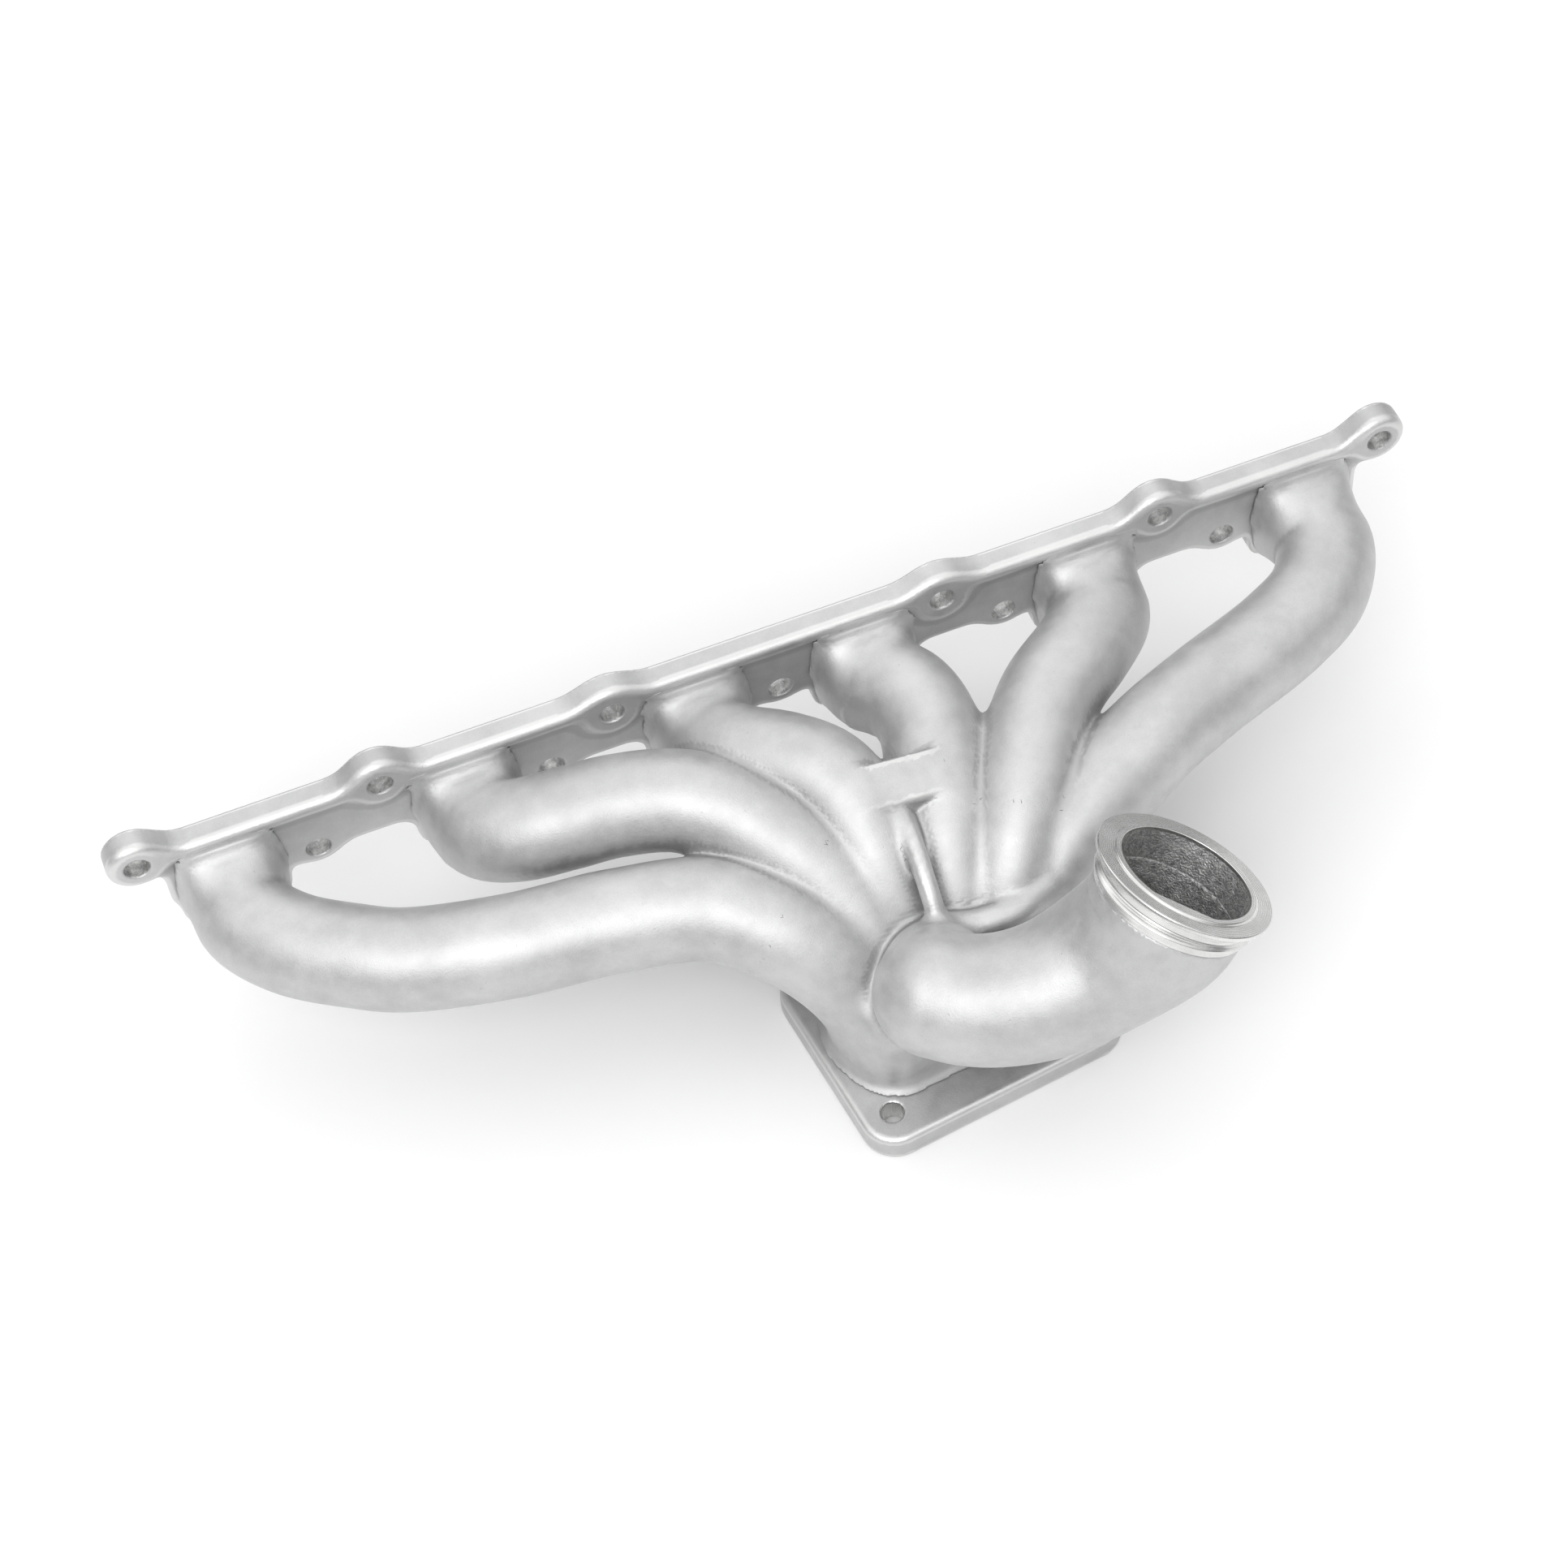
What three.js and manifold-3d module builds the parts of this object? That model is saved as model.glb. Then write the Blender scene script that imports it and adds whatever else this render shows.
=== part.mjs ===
// Turbo exhaust manifold for an inline six-cylinder engine, bare cast stainless steel.
//
// Frame: millimetres, +X along the head flange, +Y into the cylinder head, +Z up. The origin is the middle
// of the head flange's machined face. Heights in this file are counted from the line through the port
// centres, and the finished group is lowered at the end to put the origin where it belongs.
// Cylinder 1 is at the +X end. Runners 1-3 feed one scroll of the turbo flange, runners 4-6 the other.

import * as THREE from 'three';
import { mergeVertices } from 'three/addons/utils/BufferGeometryUtils.js';
import Module from 'manifold-3d';

const wasm = await Module();
wasm.setup();

// ---------------------------------------------------------------- driving dimensions (mm)

const GAP = 0.3;                       // clearance between pieces that seat on each other
const OVERRUN = 6;                     // how far a cutting tool runs past what it cuts
const SLIVER = 0.02;                   // details smaller than this are dropped after cutting
const REACH = 400;                     // half size of a tool that takes in everything on one side

// Head flange
const HEAD_THICKNESS = 12;
const HEAD_TOP = 34;                   // height of the flange's top edge
const HEAD_BOTTOM = -1;                // height of its lower edge between the ports
const HEAD_BAR_END = 268;              // half length of the bar without its end ears
const STUD_BORE = 10.8;                // clearance bore for a head stud
const UPPER_STUDS = [                  // [distance from the middle, height, ear radius]
  [74.6, 26.2, 12.6],
  [175.8, 31.6, 12],
  [280, 31.6, 12.5],
];
const LOWER_STUD_PITCH = 103.6;        // the engine's bore pitch
const LOWER_STUD_HEIGHT = 1.5;
const LOWER_EAR_RADIUS = 9;

// Ports and port necks
const PORT_X = [245, 141.4, 37.8];     // cylinders 1, 2, 3; cylinders 4, 5, 6 mirror them
const PORT_WIDTH = 37;
const PORT_HEIGHT = 36;
const PORT_SQUARENESS = 5;             // superellipse power of the port's section
const PAD_BORDER = 5.5;                // flange material round the lower half of a port
const NECK_WALL = 4.2;
const NECK_LENGTH = 9;

// Runners
const RUNNER_OD = 43;
const RUNNER_WALL = 4;

// Turbo flange and scrolls
const TURBO_CENTRE = [20, -144];       // middle of the turbo flange in plan
const TURBO_TOP = -66;                 // height of the side that the scrolls stand on
const TURBO_THICKNESS = 12.5;
const TURBO_YAW = 7;                   // degrees about Z
const TURBO_LENGTH = 122;
const TURBO_WIDTH = 100;
const TURBO_CORNER = 15;
const TURBO_BOLT_LENGTH = 94;
const TURBO_BOLT_WIDTH = 70;
const TURBO_BOLT_BORE = 9.5;
const SCROLL_WIDTH = 56;               // outside, across the flange
const SCROLL_SPAN = 96;                // outside, both scrolls with the divider
const SCROLL_WALL = 5;
const SCROLL_TOP = -22;                // where the scrolls close over the runners' ends
const DIVIDER_X = 22;                  // plane between the two groups of runners
const DIVIDER_THICKNESS = 4;
const LAND_WIDTH = 9;                  // flange land between its two openings

// Wastegate pipe and flange
const GATE_PIPE_OD = 53;
const GATE_MOUTH_OD = 66;              // the pipe flares towards its flange
const GATE_WALL = 4;
const GATE_AXIS = [0.54, 0.16, 0.82];  // direction in which the gate flange faces
const GATE_CENTRE = [104.5, -190, 42]; // middle of the gate flange's face
const GATE_FLANGE_OD = 77;
const GATE_BORE = 57;
const GATE_RIM = 3.6;                  // thickness of the clamped rim
const GATE_GROOVE = 7;                 // width of the clamp groove behind the rim
const GATE_GROOVE_DEPTH = 5.5;
const GATE_COLLAR = 4;                 // plain band between the groove and the pipe
const GATE_LIP = 1.2;                  // height of the locating lip round the bore
const GATE_LIP_WIDTH = 4.4;
const GATE_EDGE = 0.6;                 // bevel of the rim and the lip
const GATE_RAMP = 2.5;                 // slope between the rim and the groove's bottom

// Bridge plate and divider rib
const BRIDGE = {                        // its top's middle, its size, and its slopes
  x: 24, y: -90.5, top: 25, length: 42, width: 20, thickness: 6, fall: 0.131, rise: 0.38,
};
const RIB_THICKNESS = 6;
const RIB_SQUARENESS = 3;              // superellipse power of its section
const RIB = { from: [23, -101], to: [22.5, -130], depth: 16 };
const RIB_HEIGHTS = [6, 3, -6];        // of its centreline, from the bridge plate to the scrolls

// Mesh fineness
const SECTION_POINTS = 16;
const BORE_POINTS = 14;
const RIB_POINTS = 10;
const SWEEP_STEP = 17;                 // length of pipe between two rings

// Centrelines of the runners from the end of each neck to the scroll, cylinder 1 to 6.
const RUNNER_PATHS = {
  1: [[245, -34, 0], [232, -54, 0], [208, -68, 0], [164, -84, 0], [134, -96, -1], [103, -112, -6],
    [74, -128, -18], [56, -137, -40], [50, -140, -58]],
  2: [[140, -30, 2], [126, -44, 4], [102, -62, 5], [84, -84, 4], [70, -106, -1], [57, -124, -14],
    [48, -133, -34], [45, -138, -58]],
  3: [[41, -28, 3], [47, -40, 6], [49, -56, 6], [45, -74, 4], [40, -92, -1], [36, -110, -10],
    [34, -124, -26], [35, -132, -58]],
  4: [[-37, -30, 4], [-29, -43, 10], [-14, -56, 13], [-2, -69, 12], [4, -86, 6], [7, -104, -5],
    [8, -120, -24], [6, -134, -58]],
  5: [[-139, -31, 4], [-127, -44, 9], [-108, -51, 12], [-87, -53, 13], [-61, -59, 13], [-40, -73, 9],
    [-23, -94, 0], [-9, -115, -16], [-3, -130, -36], [-1, -138, -58]],
  6: [[-244, -32, 0], [-231, -50, 0], [-209, -66, 0], [-191, -76, 0], [-149, -87, 0], [-104, -93, 0],
    [-68, -102, -1], [-44, -118, -8], [-26, -132, -24], [-15, -142, -44], [-12, -146, -58]],
};
// How far along its centreline each runner reaches before its collector takes over.
const RUNNER_JOINTS = { 1: 0.78, 2: 0.66, 3: 0.6, 4: 0.6, 5: 0.7, 6: 0.78 };

// Centreline of the wastegate pipe, from its elbow to the back of its flange, and where it starts
// between the scrolls.
const GATE_PATH = [[5, -169, -11], [16, -177, -10], [31, -183, -8.5], [49, -187, -5.5], [70, -190, 3]];
const GATE_ROOT = [17, -144, -34];

// ---------------------------------------------------------------- solids

const v3 = (p) => new THREE.Vector3(...p);

/** A closed three.js geometry as a solid that can be joined and cut. */
function toSolid(geometry) {
  const plain = geometry.index ? geometry.toNonIndexed() : geometry.clone();
  plain.deleteAttribute('normal');
  plain.deleteAttribute('uv');
  const merged = mergeVertices(plain, 1e-4);
  return new wasm.Manifold(new wasm.Mesh({
    numProp: 3,
    vertProperties: new Float32Array(merged.attributes.position.array),
    triVerts: new Uint32Array(merged.index.array),
  }));
}

/** A solid as a three.js geometry, without the slivers that cutting leaves. */
function toGeometry(solid) {
  const mesh = solid.simplify(SLIVER).getMesh();
  const geometry = new THREE.BufferGeometry();
  geometry.setAttribute('position', new THREE.BufferAttribute(mesh.vertProperties, 3));
  geometry.setIndex(new THREE.BufferAttribute(mesh.triVerts, 1));
  geometry.computeVertexNormals();
  return geometry;
}

const join = (solids) => solids.reduce((sum, solid) => sum.add(solid));
const cut = (solid, tools) => tools.reduce((left, tool) => left.subtract(tool), solid);

/** The largest single body of a solid: a cut can leave a sliver beside it. */
function mainBody(solid) {
  const bodies = solid.decompose();
  return bodies.reduce((best, body) => (body.volume() > best.volume() ? body : best));
}

/** A box between two corners. */
function box(low, high) {
  const size = high.map((value, axis) => value - low[axis]);
  const middle = high.map((value, axis) => (value + low[axis]) / 2);
  return toSolid(new THREE.BoxGeometry(...size).translate(...middle));
}

/** Points of a superellipse: power 2 is an ellipse, a larger power is squarer. */
function ring(halfWidth, halfHeight, power, count) {
  return Array.from({ length: count }, (_, i) => {
    const angle = (i / count) * 2 * Math.PI;
    const [c, s] = [Math.cos(angle), Math.sin(angle)];
    const reach = (Math.abs(c) ** power + Math.abs(s) ** power) ** (-1 / power);
    return new THREE.Vector2(halfWidth * c * reach, halfHeight * s * reach);
  });
}

const centreOf = (points) => points.reduce((sum, p) => sum.add(p), v3([0, 0, 0]))
  .divideScalar(points.length);

/** True where a ring's points run clockwise as seen from the ring after it. */
function runsClockwise(rings) {
  const [a, b, c] = rings[0];
  const facing = b.clone().sub(a).cross(c.clone().sub(b));
  return facing.dot(centreOf(rings[1]).sub(centreOf(rings[0]))) < 0;
}

/** A solid skinned over rings of points, with flat ends. */
function skin(ringsAsGiven) {
  const clockwise = runsClockwise(ringsAsGiven);
  const rings = clockwise ? ringsAsGiven.map((points) => [...points].reverse()) : ringsAsGiven;
  const count = rings[0].length;
  const corners = [];
  const tri = (a, b, c) => corners.push(...a.toArray(), ...b.toArray(), ...c.toArray());
  for (let k = 0; k + 1 < rings.length; k += 1) {
    for (let i = 0; i < count; i += 1) {
      const j = (i + 1) % count;
      tri(rings[k][i], rings[k][j], rings[k + 1][j]);
      tri(rings[k][i], rings[k + 1][j], rings[k + 1][i]);
    }
  }
  const last = rings.length - 1;
  for (let i = 1; i + 1 < count; i += 1) {
    tri(rings[0][0], rings[0][i + 1], rings[0][i]);
    tri(rings[last][0], rings[last][i], rings[last][i + 1]);
  }
  const geometry = new THREE.BufferGeometry();
  geometry.setAttribute('position', new THREE.Float32BufferAttribute(corners, 3));
  return toSolid(geometry);
}

/** A section carried along a curve between two shares of its length, run on straight at its ends. */
function sweep(curve, from, to, sectionAt, lead = 0, tail = 0) {
  const steps = Math.max(2, Math.round((curve.getLength() * (to - from)) / SWEEP_STEP));
  const shares = Array.from({ length: steps + 1 }, (_, k) => from + ((to - from) * k) / steps);
  let side = null;
  const rings = shares.map((share) => {
    const place = curve.getPointAt(Math.min(share, 1));
    const along = curve.getTangentAt(Math.min(share, 1));
    side = side ?? new THREE.Vector3(0, 0, 1).cross(along).normalize();
    side.addScaledVector(along, -side.dot(along)).normalize();
    const up = along.clone().cross(side);
    return sectionAt(share).map((p) => place.clone().addScaledVector(side, p.x).addScaledVector(up, p.y));
  });
  const runOn = (points, tangent, length) => {
    const shift = tangent.multiplyScalar(length);
    return length === 0 ? [] : [points.map((p) => p.clone().add(shift))];
  };
  return skin([
    ...runOn(rings[0], curve.getTangentAt(from), -lead),
    ...rings,
    ...runOn(rings[steps], curve.getTangentAt(to), tail),
  ]);
}

/** A vertical or horizontal bore. */
function bore(diameter, length, centre, axis) {
  const tool = new THREE.CylinderGeometry(diameter / 2, diameter / 2, length, 14);
  if (axis === 'z') tool.rotateX(Math.PI / 2);
  return toSolid(tool.translate(...centre));
}

/** A rounded rectangle. */
function roundedRectangle(width, height, radius, segments) {
  const [w, h] = [width / 2 - radius, height / 2 - radius];
  const points = [];
  [[w, h], [-w, h], [-w, -h], [w, -h]].forEach(([x, y], corner) => {
    for (let k = 0; k <= segments; k += 1) {
      const angle = (corner + k / segments) * (Math.PI / 2);
      points.push(new THREE.Vector2(x + radius * Math.cos(angle), y + radius * Math.sin(angle)));
    }
  });
  return new THREE.Shape(points);
}

/** A plan outline raised from one height to another. */
function raise(shape, bottom, top) {
  const options = { depth: top - bottom, bevelEnabled: false, curveSegments: 5 };
  return toSolid(new THREE.ExtrudeGeometry(shape, options).translate(0, 0, bottom));
}

// ---------------------------------------------------------------- head flange and necks

const portX = (cylinder) => (cylinder <= 3 ? PORT_X[cylinder - 1] : -PORT_X[6 - cylinder]);
const CYLINDERS = [1, 2, 3, 4, 5, 6];
const headFront = -HEAD_THICKNESS;

/** A slab of the head flange's thickness over an outline drawn in X and Z. */
function headSlab(shape) {
  const slab = new THREE.ExtrudeGeometry(shape, { depth: HEAD_THICKNESS, bevelEnabled: false });
  return toSolid(slab.rotateX(Math.PI / 2));
}

/** A disc of the flange round one stud, with a web that ties it into the bar. */
function ear(x, z, radius, count) {
  const disc = new THREE.CylinderGeometry(radius, radius, HEAD_THICKNESS, count);
  return toSolid(disc.translate(x, headFront / 2, z));
}

/** A port's section as rings at two places along Y. */
function portTool(x, width, height, yFrom, yTo, count) {
  const section = ring(width / 2, height / 2, PORT_SQUARENESS, count);
  const at = (y) => section.map((p) => new THREE.Vector3(x + p.x, y, p.y));
  return skin([at(yFrom), at(yTo)]);
}

/** The web between an end ear and the bar, sloping down to the outermost port. */
function endWeb(sign) {
  const [x, z, radius] = UPPER_STUDS[2];
  const web = new THREE.Shape([
    new THREE.Vector2(sign * (HEAD_BAR_END - OVERRUN), HEAD_BOTTOM),
    new THREE.Vector2(sign * HEAD_BAR_END, HEAD_BOTTOM),
    new THREE.Vector2(sign * (x - radius / 4), z - radius + 2),
    new THREE.Vector2(sign * (x - radius / 2), z + radius - 2),
    new THREE.Vector2(sign * (HEAD_BAR_END - OVERRUN), HEAD_TOP),
  ]);
  return headSlab(web);
}

/** Every stud hole as [x, z, ear radius]. */
function studs() {
  const upper = UPPER_STUDS.flatMap(([x, z, radius]) => [[x, z, radius], [-x, z, radius]]);
  const lower = [-2, -1, 0, 1, 2].map((k) => [k * LOWER_STUD_PITCH, LOWER_STUD_HEIGHT, LOWER_EAR_RADIUS]);
  return [...upper, ...lower];
}

function headFlange() {
  const bar = box([-HEAD_BAR_END, headFront, HEAD_BOTTOM], [HEAD_BAR_END, 0, HEAD_TOP]);
  const padWidth = PORT_WIDTH + 2 * PAD_BORDER;
  const padHeight = PORT_HEIGHT + 2 * PAD_BORDER;
  const pads = CYLINDERS.map((c) => portTool(portX(c), padWidth, padHeight, headFront, 0, SECTION_POINTS));
  const ears = studs().map(([x, z, radius]) => ear(x, z, radius, 20));
  const body = join([bar, ...pads, ...ears, endWeb(1), endWeb(-1)]);
  const ports = CYLINDERS.map((c) => portTool(
    portX(c), PORT_WIDTH, PORT_HEIGHT, headFront - OVERRUN, OVERRUN, BORE_POINTS,
  ));
  const holes = studs().map(([x, z]) => bore(
    STUD_BORE, HEAD_THICKNESS + 2 * OVERRUN, [x, headFront / 2, z], 'y',
  ));
  return cut(body, [...ports, ...holes]);
}

/** Section of a neck or runner, squarer near the port; shrink takes the wall off. */
function neckRings(cylinder, shrink, yFrom, yTo, count) {
  const square = [PORT_WIDTH / 2 + NECK_WALL, PORT_HEIGHT / 2 + NECK_WALL, PORT_SQUARENESS];
  const round = [RUNNER_OD / 2, RUNNER_OD / 2, 2];
  const wall = [NECK_WALL, NECK_WALL, 0];
  const steps = 2;
  return Array.from({ length: steps + 1 }, (_, k) => {
    const share = k / steps;
    const size = square.map((value, i) => value + (round[i] - value) * share - shrink * wall[i]);
    const y = yFrom + (yTo - yFrom) * share;
    return ring(...size, count).map((p) => new THREE.Vector3(portX(cylinder) + p.x, y, p.y));
  });
}

function portNeck(cylinder) {
  const yFrom = headFront - GAP;
  const yTo = headFront - NECK_LENGTH;
  const outside = skin(neckRings(cylinder, 0, yFrom, yTo, SECTION_POINTS));
  const inside = skin(neckRings(cylinder, 1, yFrom + GAP / 2, yTo - GAP / 2, BORE_POINTS));
  return cut(outside, [inside]);
}

// ---------------------------------------------------------------- runners and collectors

/** A runner's centreline, starting square to the head where its neck ends. */
function runnerCurve(cylinder) {
  const start = headFront - NECK_LENGTH - GAP;
  const x = portX(cylinder);
  const points = [[x, start, 0], [x, start - 1, 0], ...RUNNER_PATHS[cylinder]];
  return new THREE.CatmullRomCurve3(points.map(v3), false, 'centripetal');
}

const curves = Object.fromEntries(CYLINDERS.map((c) => [c, runnerCurve(c)]));
const circle = (radius, count) => () => ring(radius, radius, 2, count);
const runnerOutside = (c, from, to, grow = 0) => sweep(
  curves[c], from, to, circle(RUNNER_OD / 2 + grow, SECTION_POINTS), grow,
);
const runnerInside = (c, from, to) => sweep(
  curves[c], from, to, circle(RUNNER_OD / 2 - RUNNER_WALL, BORE_POINTS), OVERRUN, OVERRUN,
);

/** Everything on one side of the plane between the two groups, kept clear of the divider. */
function groupSide(sign) {
  const near = DIVIDER_X + sign * (DIVIDER_THICKNESS / 2 + GAP);
  const far = DIVIDER_X + sign * REACH;
  return box([Math.min(near, far), -REACH, -REACH], [Math.max(near, far), REACH, REACH]);
}

const aboveFlange = box([-REACH, -REACH, TURBO_TOP + GAP], [REACH, REACH, REACH]);

/** A rounded block over the turbo flange, turned with it; grow makes it larger all round. */
function scrollBlock(length, width, bottom, top, grow) {
  const shape = roundedRectangle(length + 2 * grow, width + 2 * grow, 12 + grow, 3);
  const block = raise(shape, bottom, top + grow);
  return block.rotate(0, 0, TURBO_YAW).translate(TURBO_CENTRE[0], TURBO_CENTRE[1], 0);
}

const scrollOutside = (grow) => scrollBlock(SCROLL_SPAN, SCROLL_WIDTH, TURBO_TOP + GAP, SCROLL_TOP, grow);
const GROUPS = {
  1: { sign: 1, cylinders: [1, 2, 3] },
  2: { sign: -1, cylinders: [4, 5, 6] },
};

/** The outside of one collector: the ends of its runners and its scroll. */
function collectorOutside(group, grow) {
  const ends = group.cylinders.map((c) => runnerOutside(c, RUNNER_JOINTS[c], 1, grow));
  return join([...ends, scrollOutside(grow)]).intersect(groupSide(group.sign)).intersect(aboveFlange);
}

/** The gas passage of one collector, out through the flange. */
function collectorPassage(group) {
  const bores = group.cylinders.map((c) => runnerInside(c, RUNNER_JOINTS[c], 1));
  const inner = scrollBlock(
    SCROLL_SPAN - 2 * SCROLL_WALL, SCROLL_WIDTH - 2 * SCROLL_WALL,
    TURBO_TOP - OVERRUN, SCROLL_TOP - SCROLL_WALL, 0,
  );
  const wall = DIVIDER_THICKNESS / 2 + SCROLL_WALL;
  const side = groupSide(group.sign).translate(group.sign * (wall - DIVIDER_THICKNESS / 2), 0, 0);
  return join([...bores, inner]).intersect(side);
}

function collector(group, gateTool) {
  const outside = collectorOutside(group, 0);
  return mainBody(cut(outside, [collectorPassage(group), gateTool]));
}

/** One runner, trimmed back from its collector, its neighbours and the wastegate pipe. */
function runner(cylinder, tools) {
  const outside = runnerOutside(cylinder, 0, RUNNER_JOINTS[cylinder]);
  return mainBody(cut(outside, [runnerInside(cylinder, 0, RUNNER_JOINTS[cylinder]), ...tools]));
}

// ---------------------------------------------------------------- turbo flange

function turboFlange() {
  const bottom = TURBO_TOP - TURBO_THICKNESS;
  const plate = raise(roundedRectangle(TURBO_LENGTH, TURBO_WIDTH, TURBO_CORNER, 4), bottom, TURBO_TOP);
  const openingLength = (SCROLL_SPAN - 2 * SCROLL_WALL - LAND_WIDTH) / 2;
  const openings = [-1, 1].map((sign) => {
    const shape = roundedRectangle(openingLength, SCROLL_WIDTH - 2 * SCROLL_WALL, 8, 3);
    const tool = raise(shape, bottom - OVERRUN, TURBO_TOP + OVERRUN);
    return tool.translate((sign * (openingLength + LAND_WIDTH)) / 2, 0, 0);
  });
  const bolts = [[-1, -1], [-1, 1], [1, -1], [1, 1]].map(([sx, sy]) => bore(
    TURBO_BOLT_BORE, TURBO_THICKNESS + 2 * OVERRUN,
    [(sx * TURBO_BOLT_LENGTH) / 2, (sy * TURBO_BOLT_WIDTH) / 2, (TURBO_TOP + bottom) / 2], 'z',
  ));
  const flange = cut(plate, [...openings, ...bolts]);
  return flange.rotate(0, 0, TURBO_YAW).translate(TURBO_CENTRE[0], TURBO_CENTRE[1], 0);
}

/** The plate between the two scrolls, standing on the flange's land. */
function scrollDivider(tools) {
  const half = DIVIDER_THICKNESS / 2;
  const plate = box(
    [DIVIDER_X - half, TURBO_CENTRE[1] - SCROLL_WIDTH / 2 + SCROLL_WALL, TURBO_TOP + GAP],
    [DIVIDER_X + half, TURBO_CENTRE[1] + SCROLL_WIDTH / 2 - SCROLL_WALL, SCROLL_TOP - SCROLL_WALL],
  );
  return mainBody(cut(plate, tools));
}

// ---------------------------------------------------------------- wastegate pipe and flange

const gateDirection = v3(GATE_AXIS).normalize();
const gateBack = GATE_RIM + GATE_GROOVE + GATE_COLLAR;
const gatePoint = (behind) => v3(GATE_CENTRE).addScaledVector(gateDirection, -behind);

function gateCurve() {
  const points = [...GATE_PATH.map(v3), gatePoint(gateBack + 9), gatePoint(gateBack + GAP)];
  return new THREE.CatmullRomCurve3(points, false, 'centripetal');
}

const gateLine = gateCurve();

/** Section of the gate pipe: parallel for its first half, then flaring to its mouth. */
function gateSection(offset, count) {
  return (share) => {
    const flare = THREE.MathUtils.smoothstep(share, 0.35, 1);
    const diameter = GATE_PIPE_OD + (GATE_MOUTH_OD - GATE_PIPE_OD) * flare;
    return ring(diameter / 2 + offset, diameter / 2 + offset, 2, count);
  };
}

const gateRoot = new THREE.LineCurve3(v3(GATE_PATH[0]), v3(GATE_ROOT));

/** A ball at the pipe's elbow, which rounds the corner between the root and the pipe. */
function elbowBall(radius) {
  return toSolid(new THREE.SphereGeometry(radius, SECTION_POINTS, 10).translate(...GATE_PATH[0]));
}

/** The elbow, its root between the scrolls, and the flaring pipe, as one solid. */
function gateSolid(offset, count, rootTail, mouthTail) {
  const radius = GATE_PIPE_OD / 2 + offset;
  return join([
    elbowBall(radius),
    sweep(gateRoot, 0, 1, circle(radius, count), 0, rootTail),
    sweep(gateLine, 0, 1, gateSection(offset, count), 0, mouthTail),
  ]);
}

const gateOutside = (grow) => gateSolid(grow, SECTION_POINTS + 2, grow, 0);
const gateInside = () => gateSolid(-GATE_WALL, SECTION_POINTS, OVERRUN, OVERRUN);

/** The pipe outside the scrolls, with an open end into both of them. */
function wastegatePipe() {
  const passages = Object.values(GROUPS).map(collectorPassage);
  return mainBody(cut(gateOutside(0), [gateInside(), ...passages]));
}

/** The clamped flange: a turned ring with a lip, a rim, a groove and a collar. */
function wastegateFlange() {
  const rim = GATE_FLANGE_OD / 2;
  const groove = rim - GATE_GROOVE_DEPTH;
  const collar = GATE_MOUTH_OD / 2;
  const inner = GATE_BORE / 2;
  const grooveEnd = -GATE_RIM - GATE_GROOVE;
  const profile = [
    [inner, -gateBack], [collar, -gateBack], [collar, grooveEnd - GATE_EDGE], [groove, grooveEnd],
    [groove, -GATE_RIM - GATE_RAMP], [rim, -GATE_RIM], [rim, -GATE_EDGE], [rim - GATE_EDGE, 0],
    [inner + GATE_LIP_WIDTH + GATE_EDGE, 0], [inner + GATE_LIP_WIDTH, GATE_LIP],
    [inner + GATE_LIP, GATE_LIP], [inner, 0], [inner, -gateBack],
  ].map(([r, h]) => new THREE.Vector2(r, h));
  const turned = new THREE.LatheGeometry(profile, 30).rotateX(Math.PI / 2);
  const turn = new THREE.Quaternion().setFromUnitVectors(new THREE.Vector3(0, 0, 1), gateDirection);
  return toSolid(turned.applyQuaternion(turn).translate(...GATE_CENTRE));
}

// ---------------------------------------------------------------- bridge plate and rib

/** The plate cast across the valley between runners 3 and 4, lying on both their crowns. */
function bridgePlate(tools) {
  const { x, y, top, length, width, thickness, fall, rise } = BRIDGE;
  const plate = new THREE.BoxGeometry(length, width, thickness)
    .translate(0, 0, -thickness / 2)
    .rotateY(Math.atan(fall))
    .rotateX(Math.atan(rise))
    .translate(x, y, top);
  return mainBody(cut(toSolid(plate), tools));
}

/** The rib along the bottom of the same valley, over the divider. */
function dividerRib(tools) {
  const [start, middle, end] = RIB_HEIGHTS;
  const halfway = [RIB.from[0], (RIB.from[1] + RIB.to[1]) / 2, middle];
  const centre = new THREE.CatmullRomCurve3([v3([...RIB.from, start]), v3(halfway), v3([...RIB.to, end])]);
  const section = () => ring(RIB_THICKNESS / 2, RIB.depth / 2, RIB_SQUARENESS, RIB_POINTS);
  const bar = sweep(centre, 0, 1, section);
  return mainBody(cut(bar, tools));
}

// ---------------------------------------------------------------- the assembly

const CAST = { color: 0xb9bab8, roughness: 0.55, metalness: 0.9 };
const MACHINED = { color: 0xd6d7d8, roughness: 0.28, metalness: 1 };

const manifold = new THREE.Group();
manifold.position.z = -(HEAD_TOP + HEAD_BOTTOM) / 2;

function place(name, solid, finish = CAST) {
  const mesh = new THREE.Mesh(toGeometry(solid), new THREE.MeshStandardMaterial(finish));
  mesh.name = name;
  manifold.add(mesh);
}

place('head_flange', headFlange(), MACHINED);
CYLINDERS.forEach((c) => place(`port_neck_${c}`, portNeck(c)));

const gateTool = gateOutside(GAP);
const collectorTools = [collectorOutside(GROUPS[1], GAP), collectorOutside(GROUPS[2], GAP)];
place('collector_front', collector(GROUPS[1], gateTool));
place('collector_rear', collector(GROUPS[2], gateTool));
place('scroll_divider', scrollDivider([gateTool]));
place('turbo_flange', turboFlange(), MACHINED);

const trimmed = {};
[6, 5, 4, 1, 2, 3].forEach((c) => {
  const neighbours = Object.values(trimmed);
  const side = groupSide(c <= 3 ? -1 : 1);
  trimmed[c] = runnerOutside(c, 0, RUNNER_JOINTS[c], GAP);
  place(`runner_${c}`, runner(c, [...collectorTools, ...neighbours, side, gateTool]));
});

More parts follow.
